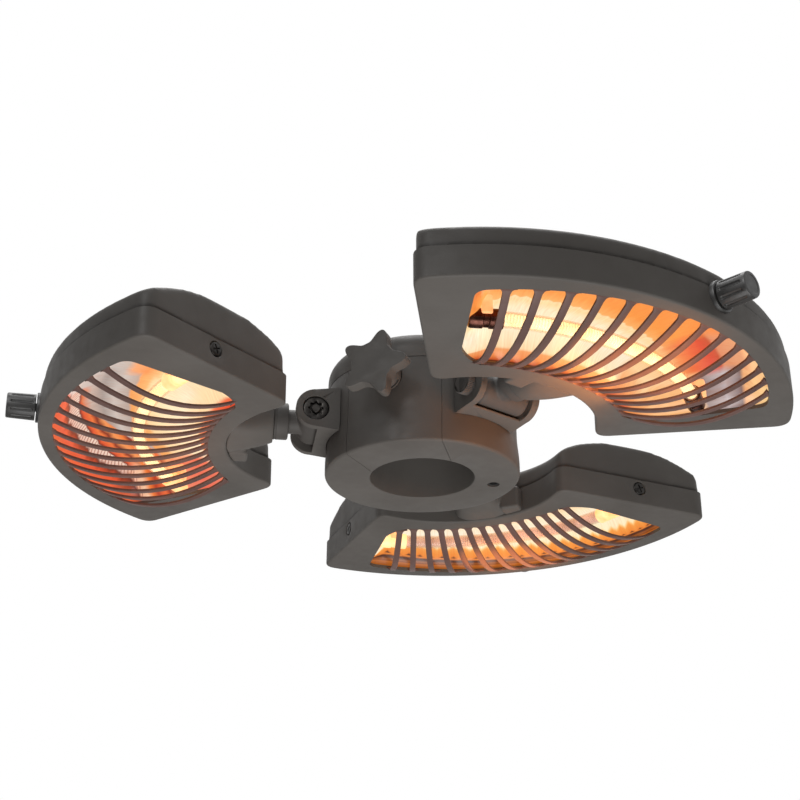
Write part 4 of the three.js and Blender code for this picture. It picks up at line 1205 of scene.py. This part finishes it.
def ringRound(middle, first, second, radius, sides):
    turns = [math.tau * k / sides for k in range(sides)]
    return [tuple(middle + (first * math.cos(turn) + second * math.sin(turn)) * radius) for turn in turns]


def alongTube(share):
    # a point of the tube's arc, with its two crosswise directions
    turn = math.radians(tube["half"]) * (2 * share - 1)
    outward = Vector((math.cos(turn), math.sin(turn), 0))
    middle = Vector((tube["centre"], 0, tube["height"])) + outward * tube["reach"]
    return middle, outward, Vector((0, 0, 1))


shares = [k / tube["steps"] for k in range(tube["steps"] + 1)]
rings = [ringRound(*alongTube(share), tube["radius"] - tube["wall"], tube["sides"]) for share in shares[::-1]]
rings += [ringRound(*alongTube(share), tube["radius"], tube["sides"]) for share in shares]
heatingTube = lofted("heatingTube", rings + rings[:1], closed=False)
shaded(heatingTube, 50)
onHeads(heatingTube, tubeQuartz, "tube_glass", "tube")

count = tube["turns"] * tube["perTurn"]
coilPoints = []
for k in range(count + 1):
    middle, outward, up = alongTube(tube["coilStart"] + (1 - 2 * tube["coilStart"]) * k / count)
    turn = math.tau * k / tube["perTurn"]
    out = outward * math.cos(turn) + up * math.sin(turn)
    coilPoints.append((middle + out * tube["coil"], out))
rings = []
for k, (centre, out) in enumerate(coilPoints):
    run = (coilPoints[min(k + 1, count)][0] - coilPoints[max(k - 1, 0)][0]).normalized()
    rings.append(ringRound(centre, out, run.cross(out).normalized(), tube["wire"], tube["wireSides"]))
glowingCoil = lofted("glowingCoil", rings)
shaded(glowingCoil, 60)
onHeads(glowingCoil, hotWires, "tube_glass")

# each end: a turned cap on the tube and a ceramic saddle that hangs it from the reflector
cap = {"half": 11.0, "bite": 6.0, "radius": 6.4, "round": 1.6, "edge": 0.4, "groove": 0.7, "play": 0.1,
       "saddle": 7.0, "saddleHalf": 8.5, "top": 38.5, "saddleRounding": 1.2,
       "grooveFloor": 1.6, "grooveMouth": 2.2}
for word, way in ways.items():
    aroundArc = moved(tube["centre"]) @ Matrix.Rotation(
        way * (math.radians(tube["half"]) + (cap["half"] - cap["bite"]) / tube["reach"]), 4, "Z")
    onArc = moved(tube["reach"], 0, tube["height"])
    tubeRoom, waist = tube["radius"] + cap["play"], cap["radius"] - cap["groove"]
    piece = turned(f"tubeCap{word}", [
        (0, -cap["half"]), (cap["radius"] - cap["round"], -cap["half"]),
        (cap["radius"] - cap["edge"], cap["edge"] - cap["half"]), (cap["radius"], cap["round"] - cap["half"]),
        (cap["radius"], -cap["grooveMouth"]), (waist, -cap["grooveFloor"]),
        (waist, cap["grooveFloor"]), (cap["radius"], cap["grooveMouth"]),
        (cap["radius"], cap["half"] - cap["edge"]), (cap["radius"] - cap["edge"], cap["half"]),
        (tubeRoom, cap["half"]), (tubeRoom, cap["half"] - cap["bite"]), (0, cap["half"] - cap["bite"])],
        48, aroundArc @ onArc @ spun(way * 90, "X"))
    shaded(piece)
    # on the left and back heads the cap has the tube's light painted on it as a glow
    onHeads(piece, capSteels, "ceramic")
    saddle = block(f"tubeSaddle{word}", (tube["reach"] - cap["saddleHalf"], -cap["saddle"] / 2, tube["height"]),
                   (tube["reach"] + cap["saddleHalf"], cap["saddle"] / 2, cap["top"]), cap["saddleRounding"])
    combine(saddle, rod("room", cap["radius"] + cap["play"], -20, 20, 48, onArc @ spun(90, "X")))
    settle(saddle, aroundArc)
    shaded(saddle)
    # the saddle has the tube's light painted on it as a glow
    onHeads(saddle, steatiteWithPaintedGlow, "ceramic", f"holder_{word.lower()}")
print("heaters ready")

# CAD nodes that stay in sight get their finish here
for word in heads:
    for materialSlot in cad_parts[f"switch_{word}"].material_slots:
        materialSlot.material = blackNylon


# Light: a world that looks white, wide soft lamps below and above, and the heads' own warm light

light = {
    "world": 0.10,
    "low": {"place": (0.15, -0.5, -1.7), "power": 30.0, "size": 1.5},
    "high": {"place": (0.1, 0.25, 2.1), "power": 38.0, "size": 1.8},
    "shine": {"place": (-0.6, -1.4, 0.65), "power": 14.0, "size": 0.4},
}
world = bpy.data.worlds.new("paleStudio")
bpy.context.scene.world = world
world.use_nodes = True
tree = world.node_tree
for node in list(tree.nodes):
    tree.nodes.remove(node)
path = addNode(tree, "LightPath")
seen = path.outputs["Is Camera Ray"]
for ray in ("Is Glossy Ray", "Is Transmission Ray"):
    either = addNode(tree, "Math", {"operation": "MAXIMUM"})
    tree.links.new(seen, either.inputs[0])
    tree.links.new(path.outputs[ray], either.inputs[1])
    seen = either.outputs[0]
background = addNode(tree, "Background", None, {
    "Strength": spread(tree, seen, 0.0, 1.0, light["world"], 1.0), "Color": (1, 1, 1, 1)})
output = addNode(tree, "OutputWorld")
tree.links.new(background.outputs[0], output.inputs["Surface"])


def softLamp(name, place, aim, power, size, colour="#ffffff"):
    bpy.ops.object.select_all(action="DESELECT")
    bpy.ops.object.light_add(type="AREA", location=place)
    lamp = named(name)
    lamp.rotation_euler = (Vector(aim) - Vector(place)).to_track_quat("-Z", "Y").to_euler()
    lamp.data.energy = power
    lamp.data.size = size
    lamp.data.color = toLinear(colour)[:3]
    lamp.visible_camera = False
    return lamp


for word in ("low", "high", "shine"):
    lamp = light[word]
    soft = softLamp(f"{word}SoftLamp", lamp["place"], (0, 0, 0.04), lamp["power"], lamp["size"])
    # the third is only there for the sheen on the upright corners
    soft.visible_diffuse = word != "shine"

# what the heaters throw on the parts beside them; a face's lamp has a reach from the hub's axis
# and a depth below the face, both in millimetres, and a power
glow = {
    "onHub": {"place": (0.112, -0.12, 0.004), "aim": (0.0, -0.05, 0.035), "power": 0.085, "size": 0.06},
    "onFace": {"right": (214.0, 20.0, 0.04), "back": (226.0, 16.0, 0.055), "left": (190.0, 30.0, 0.008)},
    "faceSize": 0.08,
    "colour": "#ffa04e",
}
softLamp("warmLampOnHub", **glow["onHub"], colour=glow["colour"])
for word in heads:
    reach, below, power = glow["onFace"][word]
    under, above = [headPlace(word) @ (Vector((reach, 0, height)) * mm)
                    for height in (head["bottom"] - below, head["bottom"])]
    softLamp(f"warmLamp_{word}", under, above, power, glow["faceSize"], glow["colour"])

floor = {"height": -1.9, "size": 16.0}
bpy.ops.object.select_all(action="DESELECT")
bpy.ops.mesh.primitive_plane_add(size=floor["size"], location=(0, 0, floor["height"]))
studioFloor = named("studioFloor")
settle(studioFloor)
studioFloor.data.materials.append(paleFloor)
studioFloor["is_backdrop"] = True
print("light and floor ready")

low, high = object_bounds()
